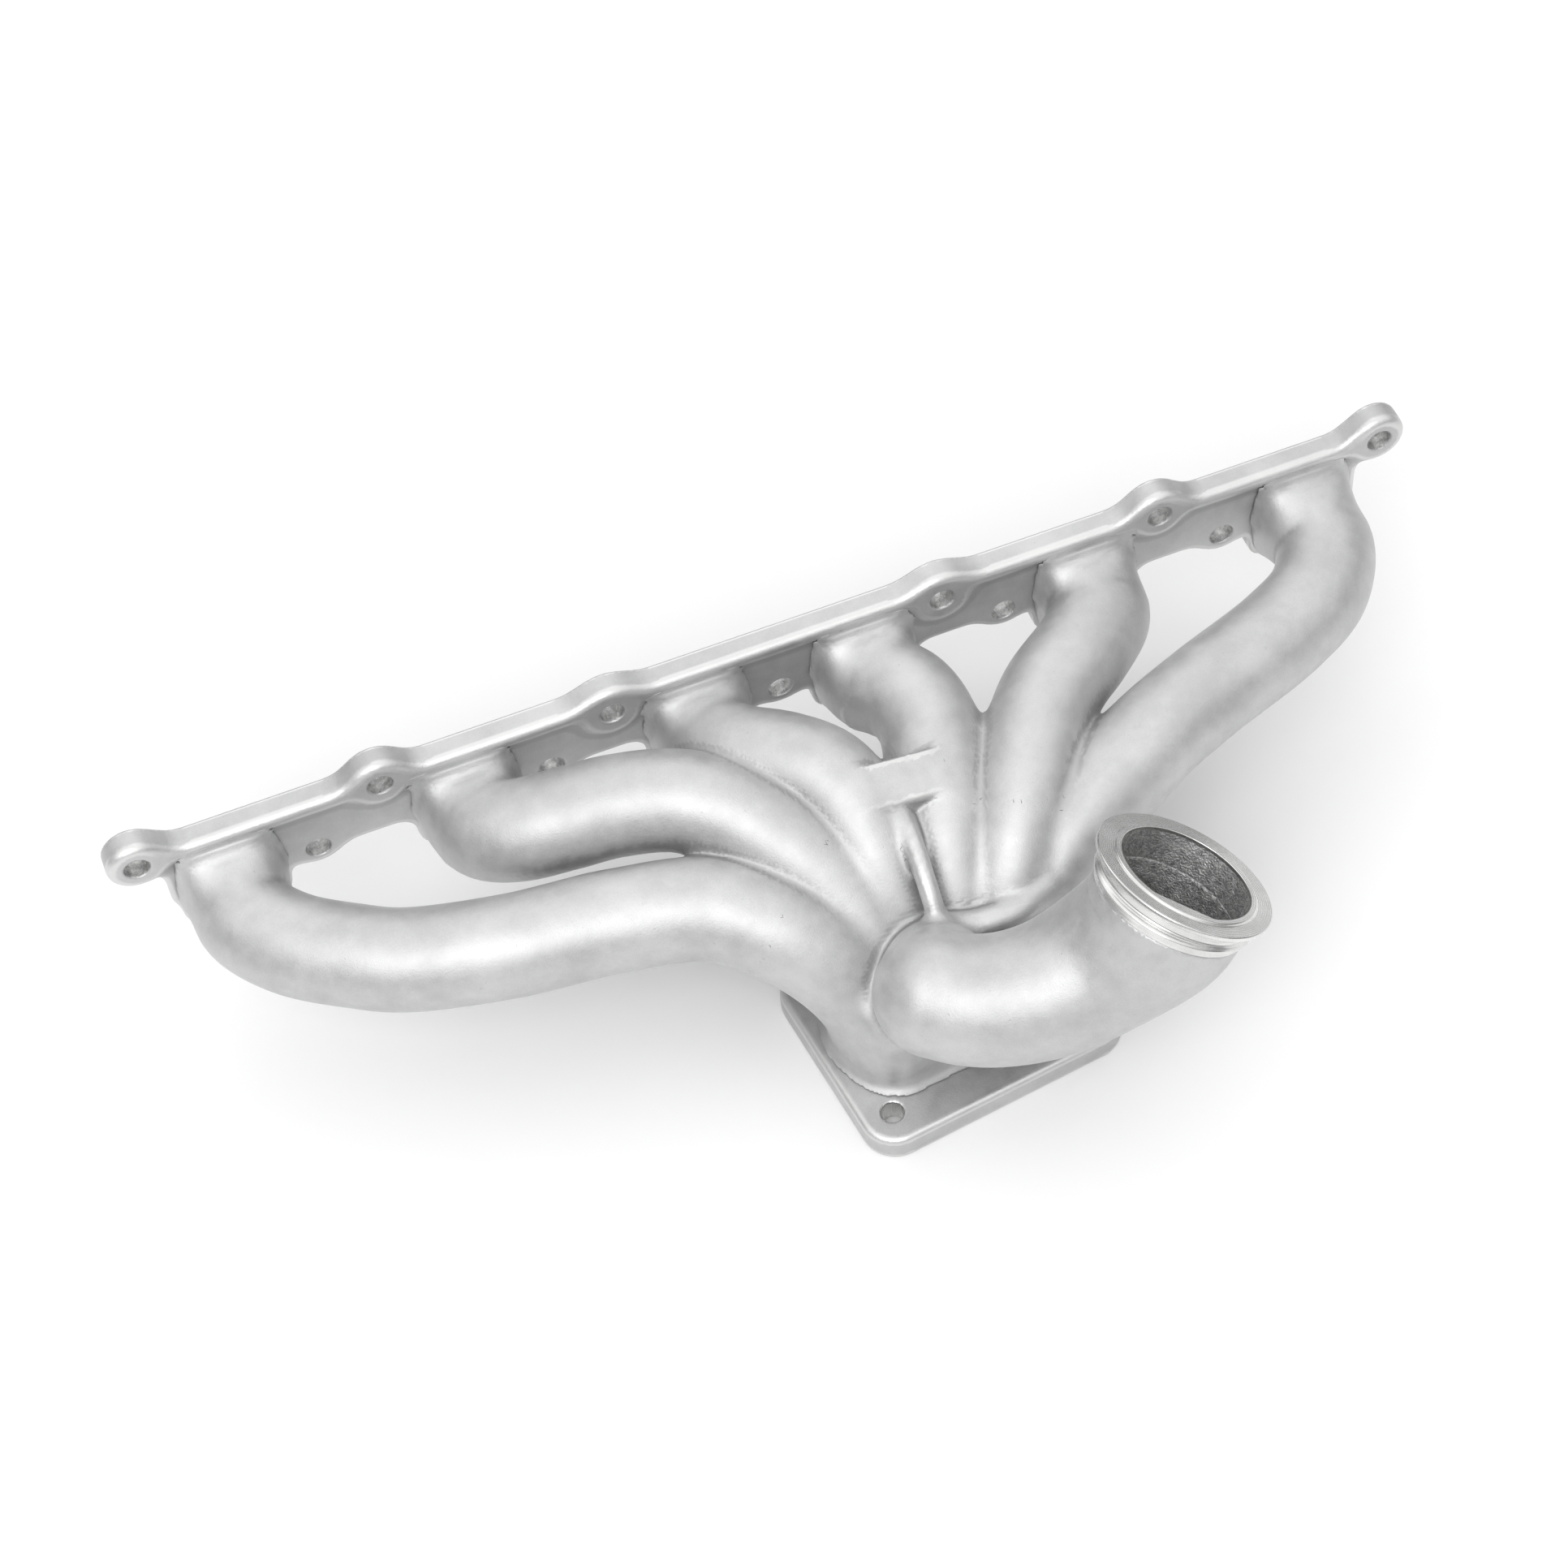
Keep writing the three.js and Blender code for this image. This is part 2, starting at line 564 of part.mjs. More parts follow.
place('wastegate_pipe', wastegatePipe());
place('wastegate_flange', wastegateFlange(), MACHINED);

const crowns = [...collectorTools, ...CYLINDERS.map((c) => runnerOutside(c, 0, RUNNER_JOINTS[c], GAP))];
place('bridge_plate', bridgePlate(crowns));
place('divider_rib', dividerRib([...crowns, gateTool]));

export default manifold;
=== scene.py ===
"""Turbo exhaust manifold for an inline six: a blended stainless casting with machined flanges.

The cast skin is a signed distance field: every runner, neck, scroll and pipe is a profile carried along a
path, neighbours melt into each other with a fillet, and the gas passages are taken out of the sum. Each
region of the casting then becomes a closed mesh of its own, sharing its border points with its neighbours.
"""

import logging
import math
from dataclasses import dataclass, field
from enum import Enum
from typing import Callable, Sequence

import bpy
import numpy as np
from mathutils import Matrix, Vector


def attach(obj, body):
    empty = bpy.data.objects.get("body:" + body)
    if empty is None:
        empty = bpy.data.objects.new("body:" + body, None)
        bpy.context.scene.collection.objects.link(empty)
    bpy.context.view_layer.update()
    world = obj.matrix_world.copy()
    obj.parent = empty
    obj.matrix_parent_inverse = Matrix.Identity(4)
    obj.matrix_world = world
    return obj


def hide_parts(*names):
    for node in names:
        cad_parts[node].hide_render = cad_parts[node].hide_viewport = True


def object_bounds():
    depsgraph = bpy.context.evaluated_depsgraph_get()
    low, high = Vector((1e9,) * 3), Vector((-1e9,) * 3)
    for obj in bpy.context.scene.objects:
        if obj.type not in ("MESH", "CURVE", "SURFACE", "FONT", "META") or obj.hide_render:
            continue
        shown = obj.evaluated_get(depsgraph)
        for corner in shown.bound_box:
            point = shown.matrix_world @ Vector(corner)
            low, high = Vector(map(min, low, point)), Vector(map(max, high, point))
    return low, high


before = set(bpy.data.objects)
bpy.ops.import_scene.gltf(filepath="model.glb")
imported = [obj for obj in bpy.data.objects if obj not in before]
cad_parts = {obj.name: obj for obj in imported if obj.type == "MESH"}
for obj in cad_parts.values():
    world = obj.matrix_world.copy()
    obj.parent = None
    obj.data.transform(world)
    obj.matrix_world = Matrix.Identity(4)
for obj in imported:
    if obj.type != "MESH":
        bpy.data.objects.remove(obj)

CAD_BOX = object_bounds()
LOG = logging.getLogger("manifold")

MM = 0.001
ORIGIN_HEIGHT = 16.5            # the frame's origin above the line through the port centres, mm
BODY = "root"
Array = np.ndarray
Point = tuple[float, float, float]


# ---------------------------------------------------------------- distance fields, in millimetres


@dataclass(frozen=True)
class Cloud:
    """A block of points held as three broadcastable coordinate arrays."""

    x: Array
    y: Array
    z: Array

    def moved(self, centre: Point, turn_deg: float = 0.0) -> "Cloud":
        """Returns the points as seen from a centre, turned back about Z.

        Args:
            centre: the new origin.
            turn_deg: the turn of the local axes about Z, in degrees.

        Returns:
            The points in the local axes.
        """
        c, s = math.cos(math.radians(turn_deg)), math.sin(math.radians(turn_deg))
        x, y = self.x - centre[0], self.y - centre[1]
        return Cloud(c * x + s * y, c * y - s * x, self.z - centre[2])


def melt(a: Array, b: Array, reach: float | Array) -> Array:
    """Returns the union of two fields with a fillet.

    The lower of the two, minus h*h*reach/4, where h runs from 0 to 1 as the two fields come within reach
    of each other.

    Args:
        a: one field.
        b: the other field.
        reach: the size of the fillet, everywhere the same or one for each point.

    Returns:
        The joined field.
    """
    h = np.maximum(reach - np.abs(a - b), 0.0) / reach
    return np.minimum(a, b) - h * h * reach / 4


def carve(a: Array, tool: Array, reach: float) -> Array:
    """Returns field a with a tool taken out and the edge rounded by reach."""
    return -melt(-a, tool, reach)


def rounded_block(p: Cloud, half: Point, radius: float) -> Array:
    """Returns the distance to a block with rounded edges.

    Outside, the length of the vector past the inner block, and inside, the nearest face; both less the
    rounding radius.

    Args:
        p: points in the block's own axes.
        half: half sizes along X, Y and Z.
        radius: the rounding of every edge.

    Returns:
        The field.
    """
    qx = np.abs(p.x) - (half[0] - radius)
    qy = np.abs(p.y) - (half[1] - radius)
    qz = np.abs(p.z) - (half[2] - radius)
    past = np.sqrt(np.maximum(qx, 0) ** 2 + np.maximum(qy, 0) ** 2 + np.maximum(qz, 0) ** 2)
    return past + np.minimum(np.maximum(np.maximum(qx, qy), qz), 0) - radius


def between(a: Array, b: Array, ka: float, kb: float, t: Array) -> Array:
    """Returns the straight blend that is a at knot ka and b at knot kb."""
    return (kb - t) / (kb - ka) * a + (t - ka) / (kb - ka) * b


def spline(points: Array, spacing: float) -> Array:
    """Returns points along a centripetal Catmull-Rom curve.

    Between points 1 and 2 of four neighbours, the curve is the usual pyramid of linear blends on knots
    that are spaced by the square root of the chord lengths.

    Args:
        points: the points that the curve passes through, one row each, with any number of columns.
        spacing: the distance between the points that come back.

    Returns:
        One row for each point of the fine curve.
    """
    first, last = 2 * points[0] - points[1], 2 * points[-1] - points[-2]
    p = np.vstack([first, points, last])
    chord = np.sqrt(np.linalg.norm(np.diff(p[:, :3], axis=0), axis=1))
    knot = np.concatenate([[0.0], np.cumsum(chord)])
    rows = []
    for k in range(1, len(p) - 2):
        count = max(2, int(math.ceil(np.linalg.norm(p[k + 1, :3] - p[k, :3]) / spacing)))
        t = np.linspace(knot[k], knot[k + 1], count, endpoint=False)[:, None]
        a1, a2, a3 = (between(p[j], p[j + 1], knot[j], knot[j + 1], t) for j in (k - 1, k, k + 1))
        b1, b2 = between(a1, a2, knot[k - 1], knot[k + 1], t), between(a2, a3, knot[k], knot[k + 2], t)
        rows.append(between(b1, b2, knot[k], knot[k + 1], t))
    return np.vstack(rows + [points[-1:]])


@dataclass(frozen=True)
class Pipe:
    """A round profile, whose radius may change, carried along a smooth path.

    Attributes:
        stations: rows of x, y, z and radius that the path passes through.
        spacing: length of the straight steps that the distance is measured to.
    """

    stations: tuple[tuple[float, float, float, float], ...]
    spacing: float = 3.0

    def line(self) -> Array:
        """Returns the fine path with its radii."""
        return spline(np.array(self.stations, float), self.spacing)

    def part(self, start: float, stop: float) -> Array:
        """Returns the stretch of the fine path between two shares of its length.

        Args:
            start: the first share.
            stop: the last share.

        Returns:
            Rows of x, y, z and radius.
        """
        line = self.line()
        run = np.concatenate([[0.0], np.cumsum(np.linalg.norm(np.diff(line[:, :3], axis=0), axis=1))])
        share = run / run[-1]
        return line[(share >= start - 1e-6) & (share <= stop + 1e-6)]


def along(grid: "Grid", line: Array, offset: float, margin: float) -> Array:
    """Returns the distance from every grid point to a pipe's wall.

    For each straight step the nearest point of its axis is found, and the distance to it less the radius
    there is kept where it is lower than that of the steps before. Points further off than the margin keep
    the margin.

    Args:
        grid: the block of space to fill.
        line: rows of x, y, z and radius.
        offset: added to every radius, so that a negative one gives the passage inside.
        margin: how far round the pipe the field is worked out.

    Returns:
        The field on the grid.
    """
    out = np.full(grid.shape, margin, np.float32)
    for a, b in zip(line[:-1], line[1:]):
        size = max(a[3], b[3]) + offset + margin
        low, high = np.minimum(a[:3], b[:3]) - size, np.maximum(a[:3], b[:3]) + size
        block = grid.block(low, high)
        if block is None:
            continue
        p = grid.cloud(block)
        step = b[:3] - a[:3]
        length2 = max(float(step @ step), 1e-9)
        t = ((p.x - a[0]) * step[0] + (p.y - a[1]) * step[1] + (p.z - a[2]) * step[2]) / length2
        t = np.clip(t, 0, 1)
        gap = np.sqrt(
            (p.x - a[0] - t * step[0]) ** 2
            + (p.y - a[1] - t * step[1]) ** 2
            + (p.z - a[2] - t * step[2]) ** 2
        )
        near = gap - (a[3] + t * (b[3] - a[3]) + offset)
        out[block] = np.minimum(out[block], near)
    return out


# ---------------------------------------------------------------- grids and meshes


@dataclass(frozen=True)
class Grid:
    """A regular block of points in space, in millimetres.

    Attributes:
        low: the lowest corner.
        high: the highest corner.
        step: spacing along X, Y and Z.
    """

    low: Point
    high: Point
    step: Point

    @property
    def shape(self) -> tuple[int, int, int]:
        """The number of points along each axis."""
        return tuple(int(math.ceil((h - l) / s)) + 1 for l, h, s in zip(self.low, self.high, self.step))

    def axis(self, k: int) -> Array:
        """The coordinates of the points along one axis."""
        return (self.low[k] + self.step[k] * np.arange(self.shape[k])).astype(np.float32)

    def block(self, low: Sequence[float], high: Sequence[float]) -> tuple[slice, ...] | None:
        """Returns the slices that hold a box, or None where the box misses the grid.

        Args:
            low: the box's lowest corner.
            high: its highest corner.

        Returns:
            A slice for each axis, or None.
        """
        cuts = []
        for k in range(3):
            first = max(0, int(math.floor((low[k] - self.low[k]) / self.step[k])))
            last = min(self.shape[k], int(math.ceil((high[k] - self.low[k]) / self.step[k])) + 1)
            if first >= last:
                return None
            cuts.append(slice(first, last))
        return tuple(cuts)

    def cloud(self, block: tuple[slice, ...] | None = None) -> Cloud:
        """Returns the points of a block, or of the whole grid, as broadcastable arrays.

        Args:
            block: slices for the three axes, or None for the whole grid.

        Returns:
            The points.
        """
        cuts = block or (slice(None),) * 3
        x, y, z = (self.axis(k)[cuts[k]] for k in range(3))
        return Cloud(x[:, None, None], y[None, :, None], z[None, None, :])


SETTLING_STEPS = 2              # steps that bring a surface point onto its surface
LONGEST_STEP = 0.4              # of a cell
SMOOTH_LIMIT = 0.55             # cosine up to which a corner takes the field's slope
RING_SMOOTH_LIMIT = 0.4         # the same for the turned ring
CORNERS = np.array([(i, j, k) for i in (0, 1) for j in (0, 1) for k in (0, 1)])
EDGES = [(a, b) for a in range(8) for b in range(a + 1, 8) if abs(CORNERS[a] - CORNERS[b]).sum() == 1]


def corner_views(values: Array) -> list[Array]:
    """Returns the eight corner values of every cell of a grid, as views."""
    nx, ny, nz = values.shape
    return [values[i:nx - 1 + i, j:ny - 1 + j, k:nz - 1 + k] for i, j, k in CORNERS]


@dataclass
class Skin:
    """The surface points of a field: one in each cell that the surface passes through.

    Attributes:
        grid: the field's grid.
        values: the field, negative inside.
        outer: the field without its holes and passages, for the bend.
        points: one row for each cell with a point.
        normals: the field's direction of growth at each point.
        bend: how convex the surface is at each point, in 1/mm, and negative in creases.
        index: each cell's row, or -1.
    """

    grid: Grid
    values: Array
    outer: Array
    points: Array = field(init=False)
    normals: Array = field(init=False)
    bend: Array = field(init=False)
    index: Array = field(init=False)

    def __post_init__(self) -> None:
        """Works out the points.

        A cell's point is the mean of the places where its edges cross the surface, found by linear
        interpolation. It then takes two steps down or up the field's gradient, interpolated between the
        cell's corners, so that it lies on the surface.
        """
        inside = self.values < 0
        count = sum(v.astype(np.int8) for v in corner_views(inside))
        cells = np.argwhere((count > 0) & (count < 8))
        values = np.stack([v[tuple(cells.T)] for v in corner_views(self.values)], 1)
        total = np.zeros((len(cells), 3))
        crossings = np.zeros((len(cells), 1))
        for a, b in EDGES:
            va, vb = values[:, a], values[:, b]
            cross = (va < 0) != (vb < 0)
            t = np.where(cross, va / np.where(cross, va - vb, 1.0), 0.0)[:, None]
            total += np.where(cross[:, None], CORNERS[a] + t * (CORNERS[b] - CORNERS[a]), 0.0)
            crossings += cross[:, None]
        local = total / crossings
        step = np.array(self.grid.step)
        for _ in range(SETTLING_STEPS):
            value, slope = self.interpolate(values, local)
            slope /= step
            move = -value[:, None] * slope / np.maximum((slope ** 2).sum(1, keepdims=True), 1e-3)
            local = np.clip(local + np.clip(move / step, -LONGEST_STEP, LONGEST_STEP), 0.0, 1.0)
        self.bend = self.bend_at(cells, local)
        slope = self.interpolate(values, local)[1] / step
        self.normals = slope / np.maximum(np.linalg.norm(slope, axis=1, keepdims=True), 1e-9)
        self.points = np.array(self.grid.low) + (cells + local) * step
        self.index = np.full(tuple(n - 1 for n in self.values.shape), -1, np.int32)
        self.index[tuple(cells.T)] = np.arange(len(cells))

    def bend_at(self, cells: Array, local: Array) -> Array:
        """Returns the surface's bend at points inside cells.

        The bend is the field's second difference over two steps along each axis, summed, at the grid point
        nearest to each point: for a pipe it is 1 / radius.

        Args:
            cells: the cells' numbers.
            local: the points inside them, from 0 to 1.

        Returns:
            One value a point.
        """
        at = cells + (local > 0.5)
        last = np.array(self.outer.shape) - 1
        here = self.outer[tuple(at.T)]
        total = np.zeros(len(at), np.float32)
        for axis in range(3):
            move = np.zeros(3, int)
            move[axis] = 2
            ahead = self.outer[tuple(np.minimum(at + move, last).T)]
            behind = self.outer[tuple(np.maximum(at - move, 0).T)]
            total += (ahead + behind - 2 * here) / (2 * self.grid.step[axis]) ** 2
        return total

    @staticmethod
    def interpolate(values: Array, local: Array) -> tuple[Array, Array]:
        """Returns the trilinear value and slope inside each cell.

        Args:
            values: eight corner values a row.
            local: places inside the cells, from 0 to 1 along each axis.

        Returns:
            The values, and the slopes in cell units.
        """
        ends = np.stack([1 - local, local], 2)
        weight = np.stack([ends[:, 0, i] * ends[:, 1, j] * ends[:, 2, k] for i, j, k in CORNERS], 1)
        slopes = []
        for axis in range(3):
            sign = np.where(CORNERS[:, axis] == 1, 1.0, -1.0)
            others = [k for k in range(3) if k != axis]
            part = np.stack(
                [ends[:, others[0], c[others[0]]] * ends[:, others[1], c[others[1]]] for c in CORNERS], 1
            )
            slopes.append((values * part * sign).sum(1))
        return (values * weight).sum(1), np.stack(slopes, 1)

    def cap_points(self, cells: Array) -> Array:
        """Returns the middles of the cells, for walls that run inside the metal."""
        return np.array(self.grid.low) + (cells + 0.5) * np.array(self.grid.step)


def net(skin: Skin, mask: Array) -> tuple[Array, Array, Array, Array, Array]:
    """Returns the closed surface round a region of a skin's solid.

    Every grid edge with one end in the region gets a four-sided face between the four cells round it. Cells
    that the skin passes through lend their own points, so neighbouring regions share them exactly, and the
    cells between two regions use their middles.

    Args:
        skin: the whole solid's surface.
        mask: True at the grid points inside the region.

    Returns:
        Points, faces, a normal and a bend for each point, and whether each face lies on the skin.
    """
    counts = sum(v.astype(np.int8) for v in corner_views(mask))
    active = (counts > 0) & (counts < 8)
    cells = np.argwhere(active)
    number = np.full(active.shape, -1, np.int64)
    number[tuple(cells.T)] = np.arange(len(cells))
    row = skin.index[tuple(cells.T)]
    on_skin = row >= 0
    points = skin.cap_points(cells)
    points[on_skin] = skin.points[row[on_skin]]
    normals = np.zeros_like(points)
    normals[on_skin] = skin.normals[row[on_skin]]
    bend = np.zeros(len(points), np.float32)
    bend[on_skin] = skin.bend[row[on_skin]]
    solid = skin.values < 0
    faces, outer = [], []
    for axis in range(3):
        u, v = (axis + 1) % 3, (axis + 2) % 3
        head = [slice(None)] * 3
        tail = [slice(None)] * 3
        head[axis], tail[axis] = slice(0, -1), slice(1, None)
        for k in (u, v):
            head[k] = tail[k] = slice(1, -1)
        a, b = mask[tuple(head)], mask[tuple(tail)]
        where = np.argwhere(a != b)
        if not len(where):
            continue
        shift = np.ones(3, int)
        shift[axis] = 0
        at = where + shift
        quad = []
        for du, dv in ((-1, -1), (0, -1), (0, 0), (-1, 0)):
            cell = at.copy()
            cell[:, u] += du
            cell[:, v] += dv
            quad.append(number[tuple(cell.T)])
        quad = np.stack(quad, 1)
        leaves = a[tuple(where.T)]
        quad[~leaves] = quad[~leaves][:, ::-1]
        faces.append(quad)
        ends = solid[tuple(head)][tuple(where.T)] & solid[tuple(tail)][tuple(where.T)]
        outer.append(~ends)
    return points, np.vstack(faces), normals, bend, np.concatenate(outer)


@dataclass(frozen=True)
class Seat:
    """Where a part that is worked out in axes of its own stands.

    Attributes:
        centre: the local origin.
        axes: the local axes as columns.
    """

    centre: Point = (0.0, 0.0, 0.0)
    axes: tuple[Point, Point, Point] = ((1.0, 0.0, 0.0), (0.0, 1.0, 0.0), (0.0, 0.0, 1.0))

    def turn(self, vectors: Array) -> Array:
        """Returns directions, turned into the manifold's axes."""
        return vectors @ np.array(self.axes).T

    def put(self, points: Array) -> Array:
        """Returns places, in the manifold's axes."""
        return self.turn(points) + np.array(self.centre)


UNMOVED = Seat()


@dataclass(frozen=True)
class Piece:
    """A finished Blender object in place of one CAD node.

    Attributes:
        name: the object's name.
        node: the node that it replaces.
        slot: its material slot in the record; not used.
        finishes: its materials, in the order of the face numbers.
        seat: where its own axes stand.
    """

    name: str
    node: str
    slot: "Slot"
    finishes: tuple["Finish", ...]
    seat: Seat = UNMOVED

    def place(self, points: Array, faces: Array, corner_normals: Array, finish: Array) -> bpy.types.Object:
        """Makes the mesh object, dresses it and ties it to the frame.

        Args:
            points: places in the piece's own axes, in millimetres.
            faces: rows of point numbers.
            corner_normals: a normal for each face corner, in the same axes.
            finish: the number of each face's finish.

        Returns:
            The object.
        """
        points, corner_normals = self.seat.put(points), self.seat.turn(corner_normals)
        mesh = bpy.data.meshes.new(self.name)
        metres = (points - np.array([0.0, 0.0, ORIGIN_HEIGHT])) * MM
        sides = faces.shape[1]
        mesh.vertices.add(len(metres))
        mesh.vertices.foreach_set("co", metres.astype(np.float32).ravel())
        mesh.loops.add(faces.size)
        mesh.loops.foreach_set("vertex_index", faces.astype(np.int32).ravel())
        mesh.polygons.add(len(faces))
        mesh.polygons.foreach_set("loop_start", np.arange(0, faces.size, sides, dtype=np.int32))
        mesh.polygons.foreach_set("use_smooth", np.ones(len(faces), bool))
        for kind in self.finishes:
            mesh.materials.append(kind.material())
        mesh.polygons.foreach_set("material_index", finish.astype(np.int32))
        mesh.update(calc_edges=True)
        mesh.normals_split_custom_set(corner_normals.tolist())
        piece = bpy.data.objects.new(self.name, mesh)
        bpy.context.scene.collection.objects.link(piece)
        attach(piece, BODY)
        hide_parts(self.node)
        LOG.info("%s: %d faces", self.name, len(faces))
        return piece


def face_normals(points: Array, faces: Array) -> Array:
    """Returns the unit normal of each four-sided face, from the cross product of its diagonals.

    Args:
        points: places.
        faces: rows of four point numbers.

    Returns:
        One row for each face.
    """
    p = points[faces]
    normal = np.cross(p[:, 2] - p[:, 0], p[:, 3] - p[:, 1])
    return normal / np.maximum(np.linalg.norm(normal, axis=1, keepdims=True), 1e-12)


def net_piece(
    piece: Piece, skin: Skin, mask: Array, choose: Callable[[Array, Array], Array]
) -> bpy.types.Object:
    """Makes a region of a skin's solid an object with the field's own shading.

    A corner takes the field's slope where that agrees with its face, and the face's own normal on the hidden
    walls between regions and at sharp rims.

    Args:
        piece: the object to make.
        skin: the solid's surface.
        mask: True at the grid points of the region.
        choose: gives the number of each face's finish from the faces' middles and normals.

    Returns:
        The object.
    """
    points, faces, normals, bend, outer = net(skin, mask)
    flat = face_normals(points, faces)
    smooth = normals[faces]
    agree = outer[:, None] & ((smooth * flat[:, None]).sum(2) > SMOOTH_LIMIT)
    corners = np.where(agree[:, :, None], smooth, flat[:, None])
    finish = choose(points[faces].mean(1), flat)
    made = piece.place(points, faces, corners.reshape(-1, 3), finish)
    layer = made.data.attributes.new("bend", "FLOAT", "POINT")
    layer.data.foreach_set("value", bend)
    return made


# ---------------------------------------------------------------- shader maths


class Socket:
    """A shader socket that takes part in Python expressions, each operator adding a Math node."""

    def __init__(self, tree: "NodeTree", link: bpy.types.NodeSocket) -> None:
        """Wraps a socket of a shader's tree."""
        self.tree = tree
        self.link = link

    def _math(self, operation: str, first: "Value", second: "Value" = 0.0) -> "Socket":
        """Adds a Math node and returns its result."""
        return self.tree.node("ShaderNodeMath", {"operation": operation}, {0: first, 1: second})

    def __add__(self, other: "Value") -> "Socket":
        """The sum."""
        return self._math("ADD", self, other)

    def __sub__(self, other: "Value") -> "Socket":
        """The difference."""
        return self._math("SUBTRACT", self, other)

    def __mul__(self, other: "Value") -> "Socket":
        """The product."""
        return self._math("MULTIPLY", self, other)

    def __radd__(self, other: "Value") -> "Socket":
        """The sum, with the number first."""
        return self._math("ADD", other, self)

    def __rsub__(self, other: "Value") -> "Socket":
        """The difference, with the number first."""
        return self._math("SUBTRACT", other, self)

    def __rmul__(self, other: "Value") -> "Socket":
        """The product, with the number first."""
        return self._math("MULTIPLY", other, self)

    def ramp(self, low: float, high: float) -> "Socket":
        """The value spread so that low becomes 0 and high becomes 1, clamped."""
        return self.tree.node("ShaderNodeMapRange", {"interpolation_type": "SMOOTHSTEP"},
                              {0: self, 1: low, 2: high, 3: 0.0, 4: 1.0})


Value = float | Socket
Colour = Sequence[float] | Socket


class NodeTree:
    """A node tree, built from Python expressions."""

    def __init__(self, tree: bpy.types.NodeTree) -> None:
        """Wraps the tree."""
        self.nodes = tree.nodes
        self.links = tree.links

    def node(self, kind: str, settings: dict, values: dict, output: str | int = 0) -> Socket:
        """Adds a node.

        Args:
            kind: the node's type.
            settings: properties, set before its sockets are used.
            values: numbers, colours or sockets for its inputs.
            output: the output that comes back.

        Returns:
            That output.
        """
        made = self.nodes.new(kind)
        for key, value in settings.items():
            setattr(made, key, value)
        for key, value in values.items():
            self.feed(made.inputs[key], value)
        return Socket(self, made.outputs[output])

    def feed(self, target: bpy.types.NodeSocket, value: Value | Sequence[float]) -> None:
        """Sets an input to a number or a colour, or links a socket to it.

        Args:
            target: the input.
            value: what it gets.
        """
        if isinstance(value, Socket):
            self.links.new(value.link, target)
        else:
            target.default_value = value

    def blend(self, factor: Value, first: "Colour", second: "Colour") -> Socket:
        """A colour between two, by a factor from 0 to 1."""
        return self.node("ShaderNodeMix", {"data_type": "RGBA"}, {0: factor, 6: first, 7: second}, 2)


class Shader(NodeTree):
    """A material with a Principled shader."""

    def __init__(self, name: str) -> None:
        """Starts the material.

        Args:
            name: the material's name.
        """
        self.material = bpy.data.materials.new(name)
        self.material.use_nodes = True
        super().__init__(self.material.node_tree)
        self.surface = self.nodes["Principled BSDF"]
        self.place = self.node("ShaderNodeTexCoord", {}, {}, "Object")

    def noise(self, scale: float, detail: float = 3.0, rough: float = 0.55) -> Socket:
        """Fractal noise over the object's own coordinates, from 0 to 1; scale is in waves a metre."""
        inputs = {"Vector": self.place, "Scale": scale, "Detail": detail, "Roughness": rough}
        return self.node("ShaderNodeTexNoise", {}, inputs, "Fac")

    def bump(self, height: Socket, distance: float, strength: float, normal: Socket | None = None) -> Socket:
        """A Bump node over a height, with the distance in metres.

        Args:
            height: the relief, from 0 to 1.
            distance: how high 1 stands.
            strength: its weight.
            normal: another bump's result, to stand on.

        Returns:
            The changed normal.
        """
        inputs: dict = {"Height": height, "Distance": distance, "Strength": strength}
        if normal is not None:
            inputs["Normal"] = normal
        return self.node("ShaderNodeBump", {}, inputs, "Normal")

    def bend(self) -> Socket:
        """How convex the surface is, in 1/mm: from the piece's own attribute."""
        return self.node("ShaderNodeAttribute", {"attribute_name": "bend"}, {}, "Fac")

    def finish(self, colour: Socket, roughness: Value, normal: Socket, metallic: float) -> bpy.types.Material:
        """Feeds the Principled shader and returns the material.

        Args:
            colour: the base colour.
            roughness: the roughness.
            normal: the bumped normal.
            metallic: 1 for bare metal and 0 for the rest.

        Returns:
            The material.
        """
        self.feed(self.surface.inputs["Base Color"], colour)
        self.feed(self.surface.inputs["Roughness"], roughness)
        self.feed(self.surface.inputs["Normal"], normal)
        self.surface.inputs["Metallic"].default_value = metallic
        return self.material


@dataclass(frozen=True)
class Finish:
    """A surface finish; each kind builds its material once and lends it to every piece."""

    name: str

    def material(self) -> bpy.types.Material:
        """Returns the finish's material, building it the first time."""
        known = bpy.data.materials.get(self.name)
        return known or self.build()

    def build(self) -> bpy.types.Material:
        """Builds the material."""
        raise NotImplementedError


